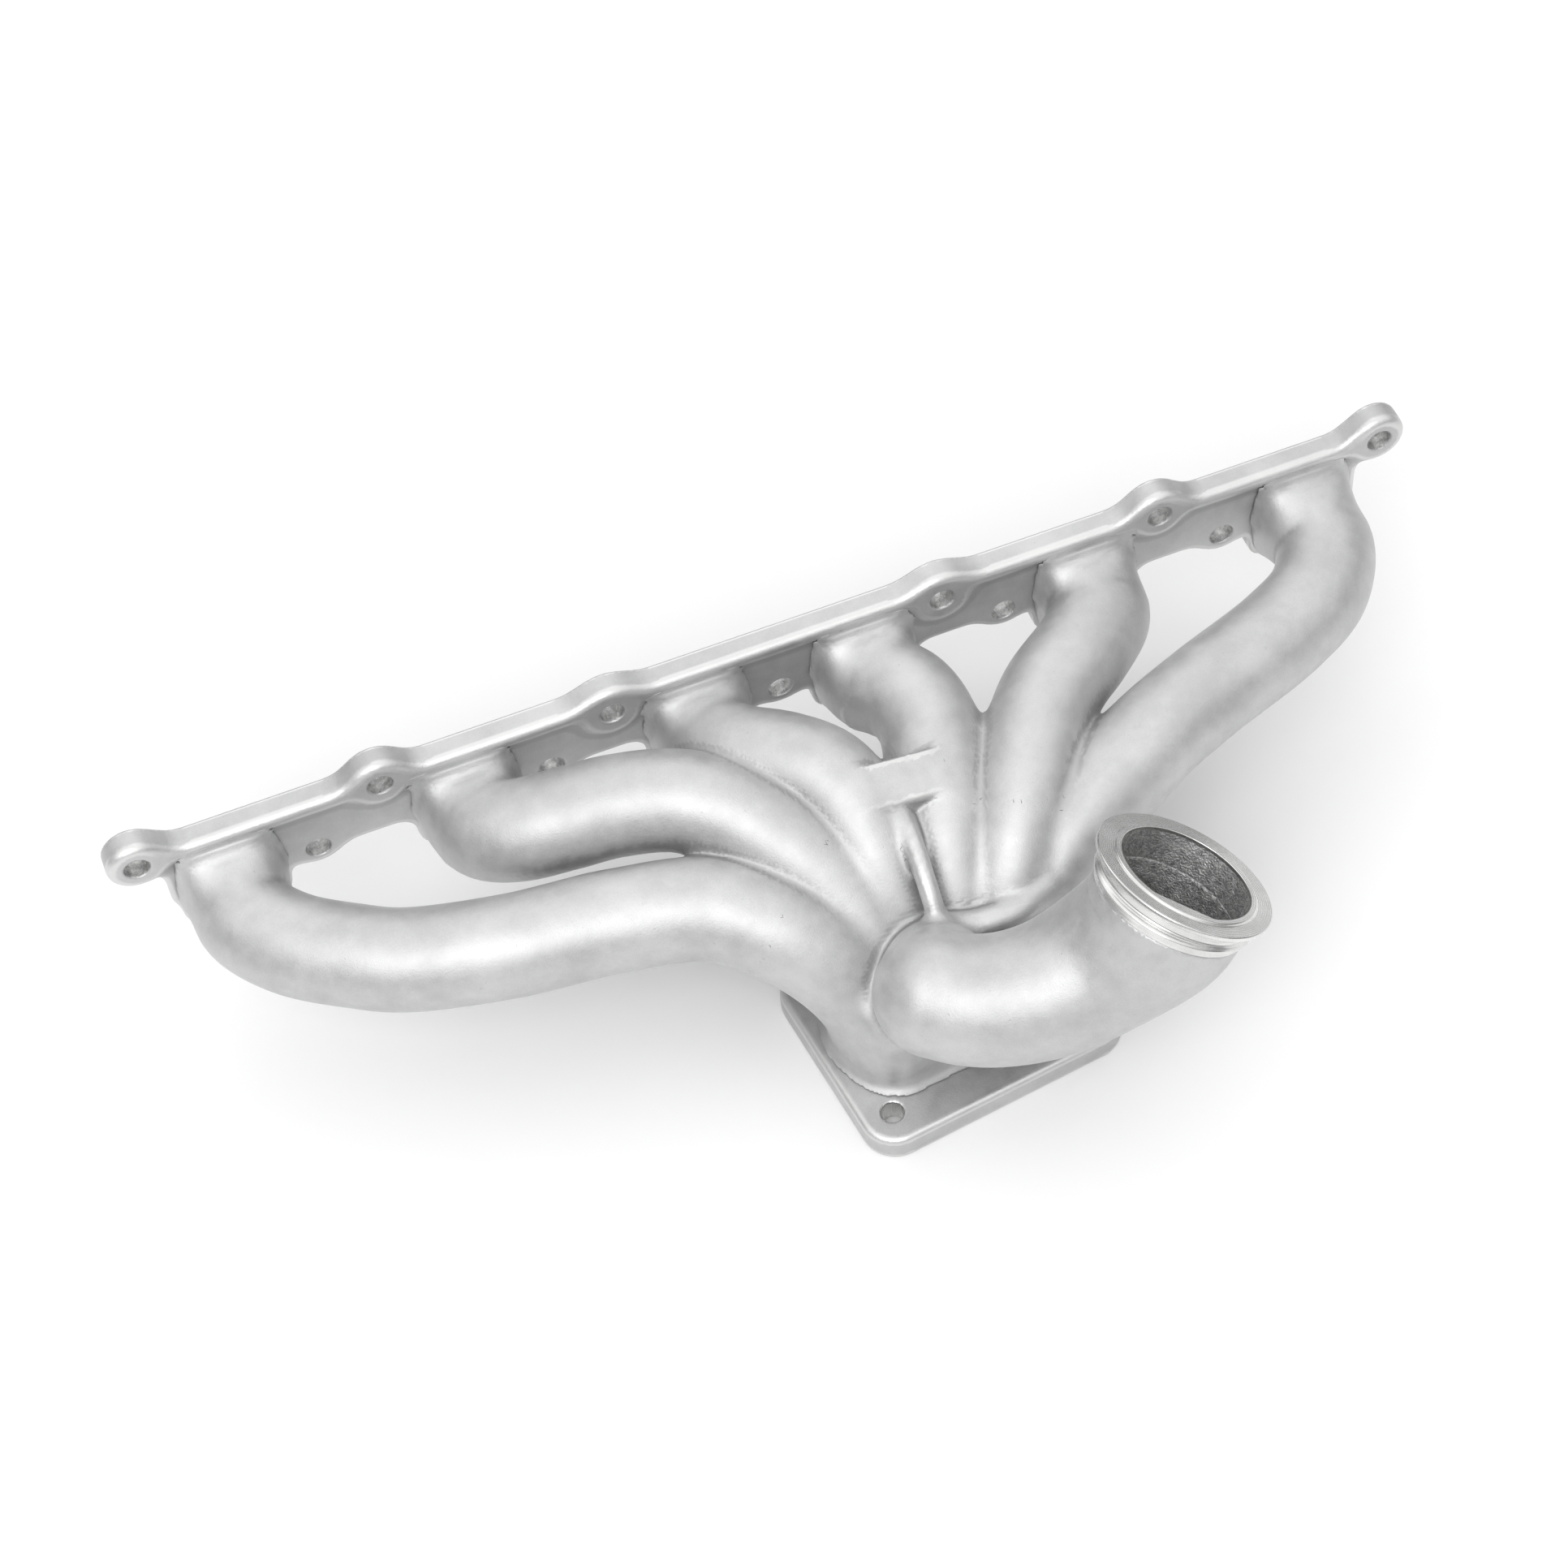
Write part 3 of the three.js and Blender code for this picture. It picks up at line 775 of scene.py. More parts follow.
@dataclass(frozen=True)
class BlastedCasting(Finish):
    """Bare investment-cast stainless steel after bead blasting: matt, fine grained and slightly mottled.

    Attributes:
        light: the lighter end of the random mottled tone.
        dark: the darker end of the random mottled tone.
        grain: size of the blasted grain, waves a metre.
        roughness: mean roughness.
    """

    name: str = "blasted_casting"
    light: tuple[float, float, float, float] = (0.66, 0.66, 0.66, 1)
    dark: tuple[float, float, float, float] = (0.51, 0.51, 0.515, 1)
    grain: float = 1500.0
    roughness: float = 0.56

    def build(self) -> bpy.types.Material:
        """Builds the casting's material: cloudy tone, fine grain, polished edges lightened partly by a
        painted highlight, and painted shade in the creases.

        Returns:
            The material.
        """
        shader = Shader(self.name)
        clouds = shader.noise(26.0, 4.0, 0.6)
        mottle = shader.noise(150.0, 3.0)
        grain = shader.noise(self.grain, 2.0, 0.7)
        # Convex edges (high bend) are lightened below: partly the rubbed polish of a casting's edges, partly
        # a painted highlight; their lower roughness is real.
        edges = shader.bend().ramp(0.08, 0.30)
        # Painted shade: concave creases (negative bend) are darkened below, standing in for the shade that
        # falls there.
        painted_crease_shade = (shader.bend() * -1.0).ramp(0.0, 0.22)
        pits = shader.noise(520.0, 1.0).ramp(0.74, 0.82)
        tone = clouds * 0.5 + mottle * 0.25 + grain * 0.25
        colour = shader.blend(tone.ramp(0.32, 0.68), self.dark, self.light)
        colour = shader.blend(edges * 0.55, colour, (0.78, 0.78, 0.77, 1))
        colour = shader.blend(painted_crease_shade * 0.4, colour, (0.28, 0.28, 0.28, 1))
        colour = shader.blend(pits * 0.25, colour, (0.38, 0.38, 0.38, 1))
        roughness = self.roughness + (mottle - 0.5) * 0.2 + (grain - 0.5) * 0.14 - edges * 0.12
        height = grain * 0.7 + mottle * 0.7 - pits * 0.4
        normal = shader.bump(height, 0.0002, 0.6)
        normal = shader.bump(clouds, 0.0012, 0.25, normal)
        return shader.finish(colour, roughness, normal, 1.0)


@dataclass(frozen=True)
class RawBore(Finish):
    """The unmachined inside of a passage: darker, coarser and duller than the outside."""

    name: str = "raw_bore"

    def build(self) -> bpy.types.Material:
        """Builds the bore's material from coarse noise in its tone, roughness and relief.

        Returns:
            The material.
        """
        shader = Shader(self.name)
        coarse = shader.noise(330.0, 5.0, 0.7)
        fine = shader.noise(1300.0, 2.0)
        colour = shader.blend(coarse.ramp(0.3, 0.7), (0.36, 0.36, 0.36, 1), (0.76, 0.76, 0.75, 1))
        normal = shader.bump(coarse * 0.7 + fine * 0.7, 0.0007, 0.9)
        return shader.finish(colour, 0.36 + fine * 0.25, normal, 1.0)


@dataclass(frozen=True)
class MachinedFace(Finish):
    """A milled or turned bright face.

    Attributes:
        seat: the turning centre and axes, for rings about its third axis, or None for straight tool marks.
        pitch: tool marks a metre.
    """

    name: str = "machined_face"
    seat: Seat | None = None
    pitch: float = 1100.0

    def build(self) -> bpy.types.Material:
        """Builds the bright face: a wave of tool marks, faint scratches and a little tarnish.

        Returns:
            The material.
        """
        shader = Shader(self.name)
        place, kind = shader.place, {"wave_type": "BANDS"}
        if self.seat is not None:
            turn = Matrix(self.seat.axes).inverted()
            centre = turn @ (Vector(self.seat.centre) - Vector((0, 0, ORIGIN_HEIGHT))) * MM
            inputs = {"Vector": place, "Location": tuple(-centre), "Rotation": tuple(turn.to_euler())}
            place = shader.node("ShaderNodeMapping", {}, inputs)
            kind = {"wave_type": "RINGS", "rings_direction": "Z"}
        inputs = {"Vector": place, "Scale": self.pitch * math.pi / 10, "Distortion": 0.5, "Detail": 2.0}
        marks = shader.node("ShaderNodeTexWave", kind, inputs, "Fac")
        tarnish = shader.noise(60.0, 4.0)
        fine = shader.noise(900.0, 2.0)
        colour = shader.blend(tarnish.ramp(0.3, 0.75), (0.66, 0.66, 0.65, 1), (0.80, 0.80, 0.79, 1))
        roughness = 0.17 + marks * 0.08 + fine * 0.1
        normal = shader.bump(marks, 0.00005, 0.5)
        return shader.finish(colour, roughness, normal, 1.0)


CAST = BlastedCasting()
BORE = RawBore()


class Slot(Enum):
    """The record's material slots."""

    CAST = "cast_steel"
    MACHINED = "machined_steel"


# ---------------------------------------------------------------- flanges

AT_WALL = 0.8                   # a face this near to an opening's wall, in mm, belongs to it
FAR = 1e3                       # a field's value where a shape has no part


def plate(outline: Array, level: Array, half: float, front: float, back: float) -> Array:
    """Returns the field of a flat plate with rounded edges.

    The outline and the distance from the middle plane are both grown by the edge's rounding, joined as the
    two sides of a corner, and shrunk by it again.

    Args:
        outline: the flat field of the plate's shape.
        level: distance from the middle plane, negative on the front.
        half: half the thickness.
        front: rounding of the front edge.
        back: rounding of the back edge.

    Returns:
        The field.
    """
    rounding = np.where(level < 0, front, back)
    qa, qb = outline + rounding, np.abs(level) - half + rounding
    return np.minimum(np.maximum(qa, qb), 0) + np.hypot(np.maximum(qa, 0), np.maximum(qb, 0)) - rounding


def flat_box(x: Array, z: Array, half: tuple[float, float], corner: float) -> Array:
    """Returns the flat distance to a rectangle with rounded corners."""
    qx, qz = np.abs(x) - half[0] + corner, np.abs(z) - half[1] + corner
    return np.hypot(np.maximum(qx, 0), np.maximum(qz, 0)) + np.minimum(np.maximum(qx, qz), 0) - corner


@dataclass(frozen=True)
class HeadFlange:
    """The long flange against the cylinder head.

    Attributes:
        thickness: from its machined face at y = 0 to the runner side.
        top: height of its top edge.
        bottom: height of its lower edge between the ports.
        bar_end: half length of the bar without its end ears.
        upper_studs: distance from the middle, height and ear radius.
        lower_pitch: spacing of the lower studs.
        lower_height: their height.
        lower_ear: their ear radius.
        stud_bore: diameter of every stud's bore.
        port_x: distances of the ports from the middle.
        port_half: half width and height of a port.
        squareness: the superellipse power of a port.
        border: metal round a port.
        fillet: how far ears and bar melt together.
        front: rounding of the runner side's edge.
        back: rounding of the machined side's edge.
        chamfer: opening of each hole at both faces.
        web_depth: how far the web between the ports stands back behind the rail and the ears.
        web_fillet: rounding of the web's corners round the ears and in its depth.
        web_edge: rounding of the step down to the web.
        rail: height of the thick rail along the top.
        clear: width of the bare ring that the castings leave round a stud bore.
    """

    thickness: float = 12.0
    top: float = 34.0
    bottom: float = -1.0
    bar_end: float = 268.0
    upper_studs: tuple[Point, ...] = ((74.6, 26.2, 12.6), (175.8, 31.6, 12.0), (280.0, 31.6, 12.5))
    lower_pitch: float = 103.6
    lower_height: float = 1.5
    lower_ear: float = 9.0
    stud_bore: float = 10.8
    port_x: tuple[float, float, float] = (245.0, 141.4, 37.8)
    port_half: tuple[float, float] = (18.5, 18.0)
    squareness: float = 5.0
    border: float = 5.5
    fillet: float = 11.0
    front: float = 3.4
    back: float = 0.8
    chamfer: float = 0.3
    web_depth: float = 2.6
    web_fillet: float = 6.0
    web_edge: float = 1.5
    rail: float = 5.5
    clear: float = 3.0

    def studs(self) -> list[Point]:
        """Returns each stud's place along the flange, its height and its ear radius."""
        upper = [(side * x, z, r) for x, z, r in self.upper_studs for side in (-1, 1)]
        return upper + [(k * self.lower_pitch, self.lower_height, self.lower_ear) for k in range(-2, 3)]

    def ports(self) -> list[float]:
        """Returns the ports' places along the flange, cylinder 1 first."""
        return [*self.port_x, *(-x for x in reversed(self.port_x))]

    def port(self, p: Cloud, x: float, grow: float) -> Array:
        """Returns the field of a squarish opening: a superellipse scaled by its mean half size.

        Args:
            p: the points.
            x: the port's place along the flange.
            grow: metal to add all round.

        Returns:
            The field.
        """
        a, b, n = self.port_half[0] + grow, self.port_half[1] + grow, self.squareness
        size = (np.abs((p.x - x) / a) ** n + np.abs(p.z / b) ** n) ** (1 / n)
        return (size - 1) * (a + b) / 2

    def outline(self, p: Cloud) -> Array:
        """Returns the flat outline: the bar, ears and pads melted together with fillets.

        Args:
            p: the points.

        Returns:
            The flat field, negative inside.
        """
        middle, half = (self.top + self.bottom) / 2, (self.top - self.bottom) / 2
        shape = flat_box(p.x, p.z - middle, (self.bar_end, half), 2.0)
        for x in self.ports():
            shape = melt(shape, self.port(p, x, self.border), self.fillet)
        for x, z, radius in self.studs():
            shape = melt(shape, np.hypot(p.x - x, p.z - z) - radius, self.fillet)
        return shape

    def web(self, p: Cloud) -> Array:
        """Returns the flat field of the thinner web: below the rail and clear of the upper ears.

        Args:
            p: the points.

        Returns:
            The field, negative where the flange is thinner.
        """
        shape = p.z - (self.top - self.rail) + 0.0 * p.x
        for x, z, radius in self.studs():
            if z > self.lower_height:
                shape = carve(shape, np.hypot(p.x - x, p.z - z) - radius + 0.6, self.web_fillet)
        return shape

    def slab(self, p: Cloud) -> Array:
        """Returns the solid flange without its holes.

        Args:
            p: the points.

        Returns:
            The field.
        """
        half = self.thickness / 2
        solid = plate(self.outline(p), p.y + half, half, self.front, self.back)
        ahead = p.y + self.thickness - self.web_depth
        pocket = -melt(-self.web(p), -ahead, self.web_fillet)
        return carve(solid, pocket, self.web_edge)

    def holes(self, p: Cloud) -> Array:
        """Returns the ports and stud bores, each opened a little at both faces.

        Args:
            p: the points.

        Returns:
            The field, negative inside a hole.
        """
        depth = np.minimum(-p.y, p.y + self.thickness)
        mouth = np.maximum(0.0, self.chamfer - depth)
        shapes = [self.port(p, x, 0.0) for x in self.ports()]
        shapes += [np.hypot(p.x - x, p.z - z) - self.stud_bore / 2 for x, z, _ in self.studs()]
        nearest = shapes[0]
        for shape in shapes[1:]:
            nearest = np.minimum(nearest, shape)
        return nearest - mouth

    def spot_faces(self, p: Cloud) -> Array:
        """Returns the field of the clear rounds that the castings leave about the studs."""
        clear = self.stud_bore / 2 + self.clear
        return np.min([np.hypot(p.x - x, p.z - z) - clear for x, z, _ in self.studs()], axis=0)

    def finish_of(self, middles: Array, normals: Array) -> Array:
        """Returns 1 for the machined face and 2 for the ports and stud bores, from faces' middles.

        Args:
            middles: the faces' middles.
            normals: their normals.

        Returns:
            One number for each face.
        """
        reach = [np.hypot(middles[:, 0] - x, middles[:, 2] - z) for x, z, _ in self.studs()]
        bored = np.min(reach, axis=0) < self.stud_bore / 2 + self.chamfer
        sideways = np.abs(normals[:, 1]) < 0.5
        port = Cloud(middles[:, 0], middles[:, 1], middles[:, 2])
        inside = np.min([self.port(port, x, 0.0) for x in self.ports()], axis=0) < AT_WALL
        kind = np.where(normals[:, 1] > 0.9, 1, 0)
        return np.where((inside | bored) & sideways, 2, kind)

    def build(self, step: float) -> bpy.types.Object:
        """Makes the flange from its field on a grid of its own.

        Args:
            step: spacing of the grid.

        Returns:
            The object.
        """
        grid = Grid((-296.0, -13.6, -27.0), (296.0, 1.6, 47.0), (step, 0.8, step))
        cloud = grid.cloud()
        solid = self.slab(cloud)
        values = np.maximum(solid, -self.holes(cloud)).astype(np.float32)
        skin = Skin(grid, values, solid)
        finishes = (CAST, MachinedFace("milled_head_face"), BORE)
        piece = Piece("long_head_flange", "head_flange", Slot.MACHINED, finishes)
        return net_piece(piece, skin, values < 0, self.finish_of)


@dataclass(frozen=True)
class TurboFlange:
    """The divided rectangular flange under the scrolls.

    Attributes:
        centre: middle of the side that the scrolls stand on.
        yaw: its turn about Z, degrees.
        thickness: its thickness.
        half: half length and half width.
        corner: corner radius.
        bolts: half spacings of the bolt holes.
        bolt_bore: their diameter.
        scroll_half: outside half length and half width of the two scrolls together.
        scroll_wall: their wall.
        divider_x: plane between the scrolls.
        land: width of the metal between the two openings.
        opening_corner: corner radius of the openings' outer corners.
        chamfer: opening of each hole at both faces.
        spot_face: radius and height of the room that each bolt needs over the flange.
        edges: rounding of the upper and the lower edge.
    """

    centre: Point = (20.0, -144.0, -66.0)
    yaw: float = 7.0
    thickness: float = 12.5
    half: tuple[float, float] = (61.0, 50.0)
    corner: float = 15.0
    bolts: tuple[float, float] = (47.0, 35.0)
    bolt_bore: float = 9.5
    scroll_half: tuple[float, float] = (48.0, 28.0)
    scroll_wall: float = 5.0
    divider_x: float = 22.0
    land: float = 9.0
    opening_corner: float = 11.0
    chamfer: float = 0.6
    spot_face: tuple[float, float] = (7.0, 12.0)
    edges: tuple[float, float] = (2.6, 0.8)

    @property
    def seat(self) -> Seat:
        """The flange's own axes."""
        c, s = math.cos(math.radians(self.yaw)), math.sin(math.radians(self.yaw))
        return Seat(self.centre, ((c, -s, 0.0), (s, c, 0.0), (0.0, 0.0, 1.0)))

    def opening(self, p: Cloud) -> Array:
        """Returns the two gas openings, in the flange's own axes.

        Args:
            p: the points.

        Returns:
            The field, negative inside an opening.
        """
        half = tuple(side - self.scroll_wall for side in self.scroll_half)
        c, s = math.cos(math.radians(self.yaw)), math.sin(math.radians(self.yaw))
        from_divider = np.abs(self.centre[0] + c * p.x - s * p.y - self.divider_x)
        box = flat_box(p.x, p.y, half, self.opening_corner)
        return carve(box, from_divider - self.land / 2, 4.0)

    def from_bolt(self, p: Cloud) -> Array:
        """Returns the distance to the nearest bolt's axis, in the flange's own axes."""
        return np.hypot(np.abs(p.x) - self.bolts[0], np.abs(p.y) - self.bolts[1])

    def holes(self, p: Cloud) -> Array:
        """Returns the bolt holes and openings.

        Args:
            p: the points.

        Returns:
            The field, negative inside a hole.
        """
        depth = np.minimum(-p.z, p.z + self.thickness)
        mouth = np.maximum(0.0, self.chamfer - depth)
        return np.minimum(self.from_bolt(p) - self.bolt_bore / 2, self.opening(p)) - mouth

    def spot_faces(self, p: Cloud) -> Array:
        """Returns the room for the bolts over the flange, as a field that is positive inside it.

        Args:
            p: the points.

        Returns:
            The field.
        """
        local = p.moved((*self.centre[:2], 0.0), self.yaw)
        radius, height = self.spot_face
        return np.minimum(radius - self.from_bolt(local), self.centre[2] + height - p.z)

    def finish_of(self, middles: Array, normals: Array) -> Array:
        """Returns 1 for the machined underside and bolt holes and 2 for the openings.

        Args:
            middles: the faces' middles.
            normals: their normals.

        Returns:
            One number for each face.
        """
        p = Cloud(middles[:, 0], middles[:, 1], middles[:, 2])
        bored = self.from_bolt(p) < self.bolt_bore / 2 + 0.5
        kind = np.where((normals[:, 2] < -0.9) | bored, 1, 0)
        return np.where((self.opening(p) < AT_WALL) & (np.abs(normals[:, 2]) < 0.5), 2, kind)

    def build(self, step: float) -> bpy.types.Object:
        """Makes the flange from its field on a grid of its own.

        Args:
            step: spacing of the grid.

        Returns:
            The object.
        """
        grid = Grid((-63.0, -52.0, -self.thickness - 1.6), (63.0, 52.0, 1.6), (step, step, 0.8))
        p = grid.cloud()
        half = self.thickness / 2
        solid = plate(flat_box(p.x, p.y, self.half, self.corner), -p.z - half, half, *self.edges)
        values = np.maximum(solid, -self.holes(p)).astype(np.float32)
        finishes = (CAST, MachinedFace("milled_turbo_face"), BORE)
        piece = Piece("divided_turbo_flange", "turbo_flange", Slot.MACHINED, finishes, self.seat)
        return net_piece(piece, Skin(grid, values, solid), values < 0, self.finish_of)


@dataclass(frozen=True)
class GateFlange:
    """The turned ring on the wastegate pipe, held by a clamp in the groove behind its rim.

    Attributes:
        centre: middle of its face.
        axis: the direction that it faces.
        radius: of the rim.
        bore: radius of the bore.
        rim: thickness of the rim.
        groove: width of the groove.
        groove_depth: how far it goes in from the rim's edge.
        collar: plain band between the groove and the pipe.
        lip: height of the locating ring round the bore.
        ledge: depth below the face of a flat left by the casting inside the bore.
        chord: distance of that flat from the axis.
        towards: direction of that flat, in the ring's own axes.
    """

    centre: Point = (104.5, -190.0, 42.0)
    axis: Point = (0.54, 0.16, 0.82)
    radius: float = 38.5
    bore: float = 28.4
    rim: float = 3.6
    groove: float = 7.0
    groove_depth: float = 6.0
    collar: float = 4.0
    lip: float = 0.9
    ledge: float = 0.6
    chord: float = 23.0
    towards: tuple[float, float] = (0.648, -0.762)

    @property
    def length(self) -> float:
        """From the face to the pipe."""
        return self.rim + self.groove + self.collar

    @property
    def seat(self) -> Seat:
        """The ring's own axes: the third faces outwards and the second lies across the casting's flat.

        Returns:
            The seat.
        """
        z = Vector(self.axis).normalized()
        x = z.cross(Vector((0, 0, 1))).normalized()
        return Seat(self.centre, tuple(zip(x, z.cross(x), z)))

    def profile(self) -> list[tuple[float, float, float, bool]]:
        """Returns the section's corners: radius, height, bevel and whether the flat narrows them.

        Returns:
            The corners, in order round the section.
        """
        root = self.radius - self.groove_depth
        lip_edge = self.bore + 2.6
        return [
            (self.bore, -self.ledge, 0.1, False),
            (self.bore, self.lip, 0.35, False),
            (lip_edge, self.lip, 0.5, False),
            (lip_edge + 0.5, 0.0, 0.3, False),
            (self.radius, 0.0, 0.7, False),
            (self.radius, -self.rim * 0.55, 0.5, False),
            (root + 0.8, -self.rim - 1.0, 0.6, False),
            (root, -self.rim - self.groove + 2.4, 0.8, False),
            (root + 2.4, -self.rim - self.groove, 0.6, False),
            (root + 0.6, -self.length, 0.1, False),
            (self.bore, -self.length, 0.1, True),
            (self.bore, -self.ledge, 0.3, True),
        ]

    def bevelled(self) -> tuple[Array, Array]:
        """Returns the section with each corner replaced by a short quadratic curve.

        The curve starts and ends on the corner's two sides, a bevel's width from the corner, which is its
        middle control point.

        Returns:
            The section's points, and whether the casting's flat narrows each.
        """
        corners = self.profile()
        where = np.array([c[:2] for c in corners])
        share = np.linspace(0, 1, 5)[:, None]
        rows, flat = [], []
        for k, (_, _, bevel, narrowed) in enumerate(corners):
            here, before, after = where[k], where[k - 1], where[(k + 1) % len(corners)]
            ends = []
            for other in (before, after):
                side = other - here
                length = max(float(np.linalg.norm(side)), 1e-6)
                ends.append(here + side * min(bevel, 0.4 * length) / length)
            rows.append((1 - share) ** 2 * ends[0] + 2 * share * (1 - share) * here + share ** 2 * ends[1])
            flat += [narrowed] * len(share)
        return np.vstack(rows), np.array(flat)

    def build(self, around: int) -> bpy.types.Object:
        """Makes the ring by turning its section round the axis.

        A point at radius r and height h goes to (r cos a, r sin a, h). Where the section belongs to the
        casting's flat, r is no more than chord / cos(a - direction of the flat).

        Args:
            around: number of steps round the axis.

        Returns:
            The object.
        """
        section, flat = self.bevelled()
        angle = np.linspace(0, 2 * np.pi, around, endpoint=False)[:, None]
        facing = np.cos(angle - math.atan2(self.towards[1], self.towards[0]))
        limit = np.where(facing > 0.2, self.chord / np.maximum(facing, 0.2), FAR)
        radius = np.where(flat[None], np.minimum(section[None, :, 0], limit), section[None, :, 0])
        height = np.broadcast_to(section[None, :, 1], radius.shape)
        points = np.stack([radius * np.cos(angle), radius * np.sin(angle), height], 2)
        count = len(section)
        i, j = np.meshgrid(np.arange(around), np.arange(count), indexing="ij")
        i2, j2 = (i + 1) % around, (j + 1) % count
        faces = np.stack([i * count + j, i * count + j2, i2 * count + j2, i2 * count + j], 2).reshape(-1, 4)
        places = points.reshape(-1, 3)
        normals = face_normals(places, faces)
        corners = self.smoothed(places, faces, normals)
        finishes = (MachinedFace("turned_gate_ring", self.seat), BORE)
        piece = Piece("turned_gate_ring", "wastegate_flange", Slot.MACHINED, finishes, self.seat)
        rough = np.broadcast_to(flat & np.roll(flat, -1), (around, count)).ravel()
        return piece.place(places, faces, corners, rough)

    @staticmethod
    def smoothed(points: Array, faces: Array, normals: Array) -> Array:
        """Returns corner normals: at each point the mean of its faces' normals, weighted by their areas.

        Args:
            points: places.
            faces: rows of four point numbers.
            normals: the faces' normals.

        Returns:
            One row for each face corner.
        """
        p = points[faces]
        area = np.linalg.norm(np.cross(p[:, 2] - p[:, 0], p[:, 3] - p[:, 1]), axis=1)
        total = np.zeros_like(points)
        for corner in range(4):
            np.add.at(total, faces[:, corner], normals * area[:, None])
        total /= np.maximum(np.linalg.norm(total, axis=1, keepdims=True), 1e-9)
        smooth = total[faces]
        agree = (smooth * normals[:, None]).sum(2, keepdims=True) > RING_SMOOTH_LIMIT
        return np.where(agree, smooth, normals[:, None]).reshape(-1, 3)


# ---------------------------------------------------------------- the casting

OVER_THE_DIVIDER = 9.0          # how fast a collector's claim fades past the divider
DIVIDER_FIRST = 50.0            # weight that makes the divider's claim win inside the scrolls


@dataclass(frozen=True)
class Fillets:
    """Sizes of the fillets where the casting's shapes run into each other."""

    scroll: float = 9.0
    shoulder: float = 4.0
    gate: float = 4.0
    rib: float = 5.0
    bridge: float = 2.0
    head: float = 6.0
    head_rim: float = 0.5
    turbo: float = 9.0


@dataclass
class Claims:
    """Which node owns each point of the casting: the one whose own shape holds the point deepest.

    Attributes:
        depth: the lowest field so far.
        owner: the number of the node that it belongs to.
        names: the nodes, by number.
    """

    depth: Array
    owner: Array
    names: list[str] = field(default_factory=list)

    def claim(self, name: str, values: Array) -> None:
        """Gives a node the points that are deeper in its own shape than in any before.

        Args:
            name: the node.
            values: the field of its own shape.
        """
        self.names.append(name)
        nearer = values < self.depth
        self.owner[nearer] = len(self.names) - 1
        np.minimum(self.depth, values, out=self.depth)


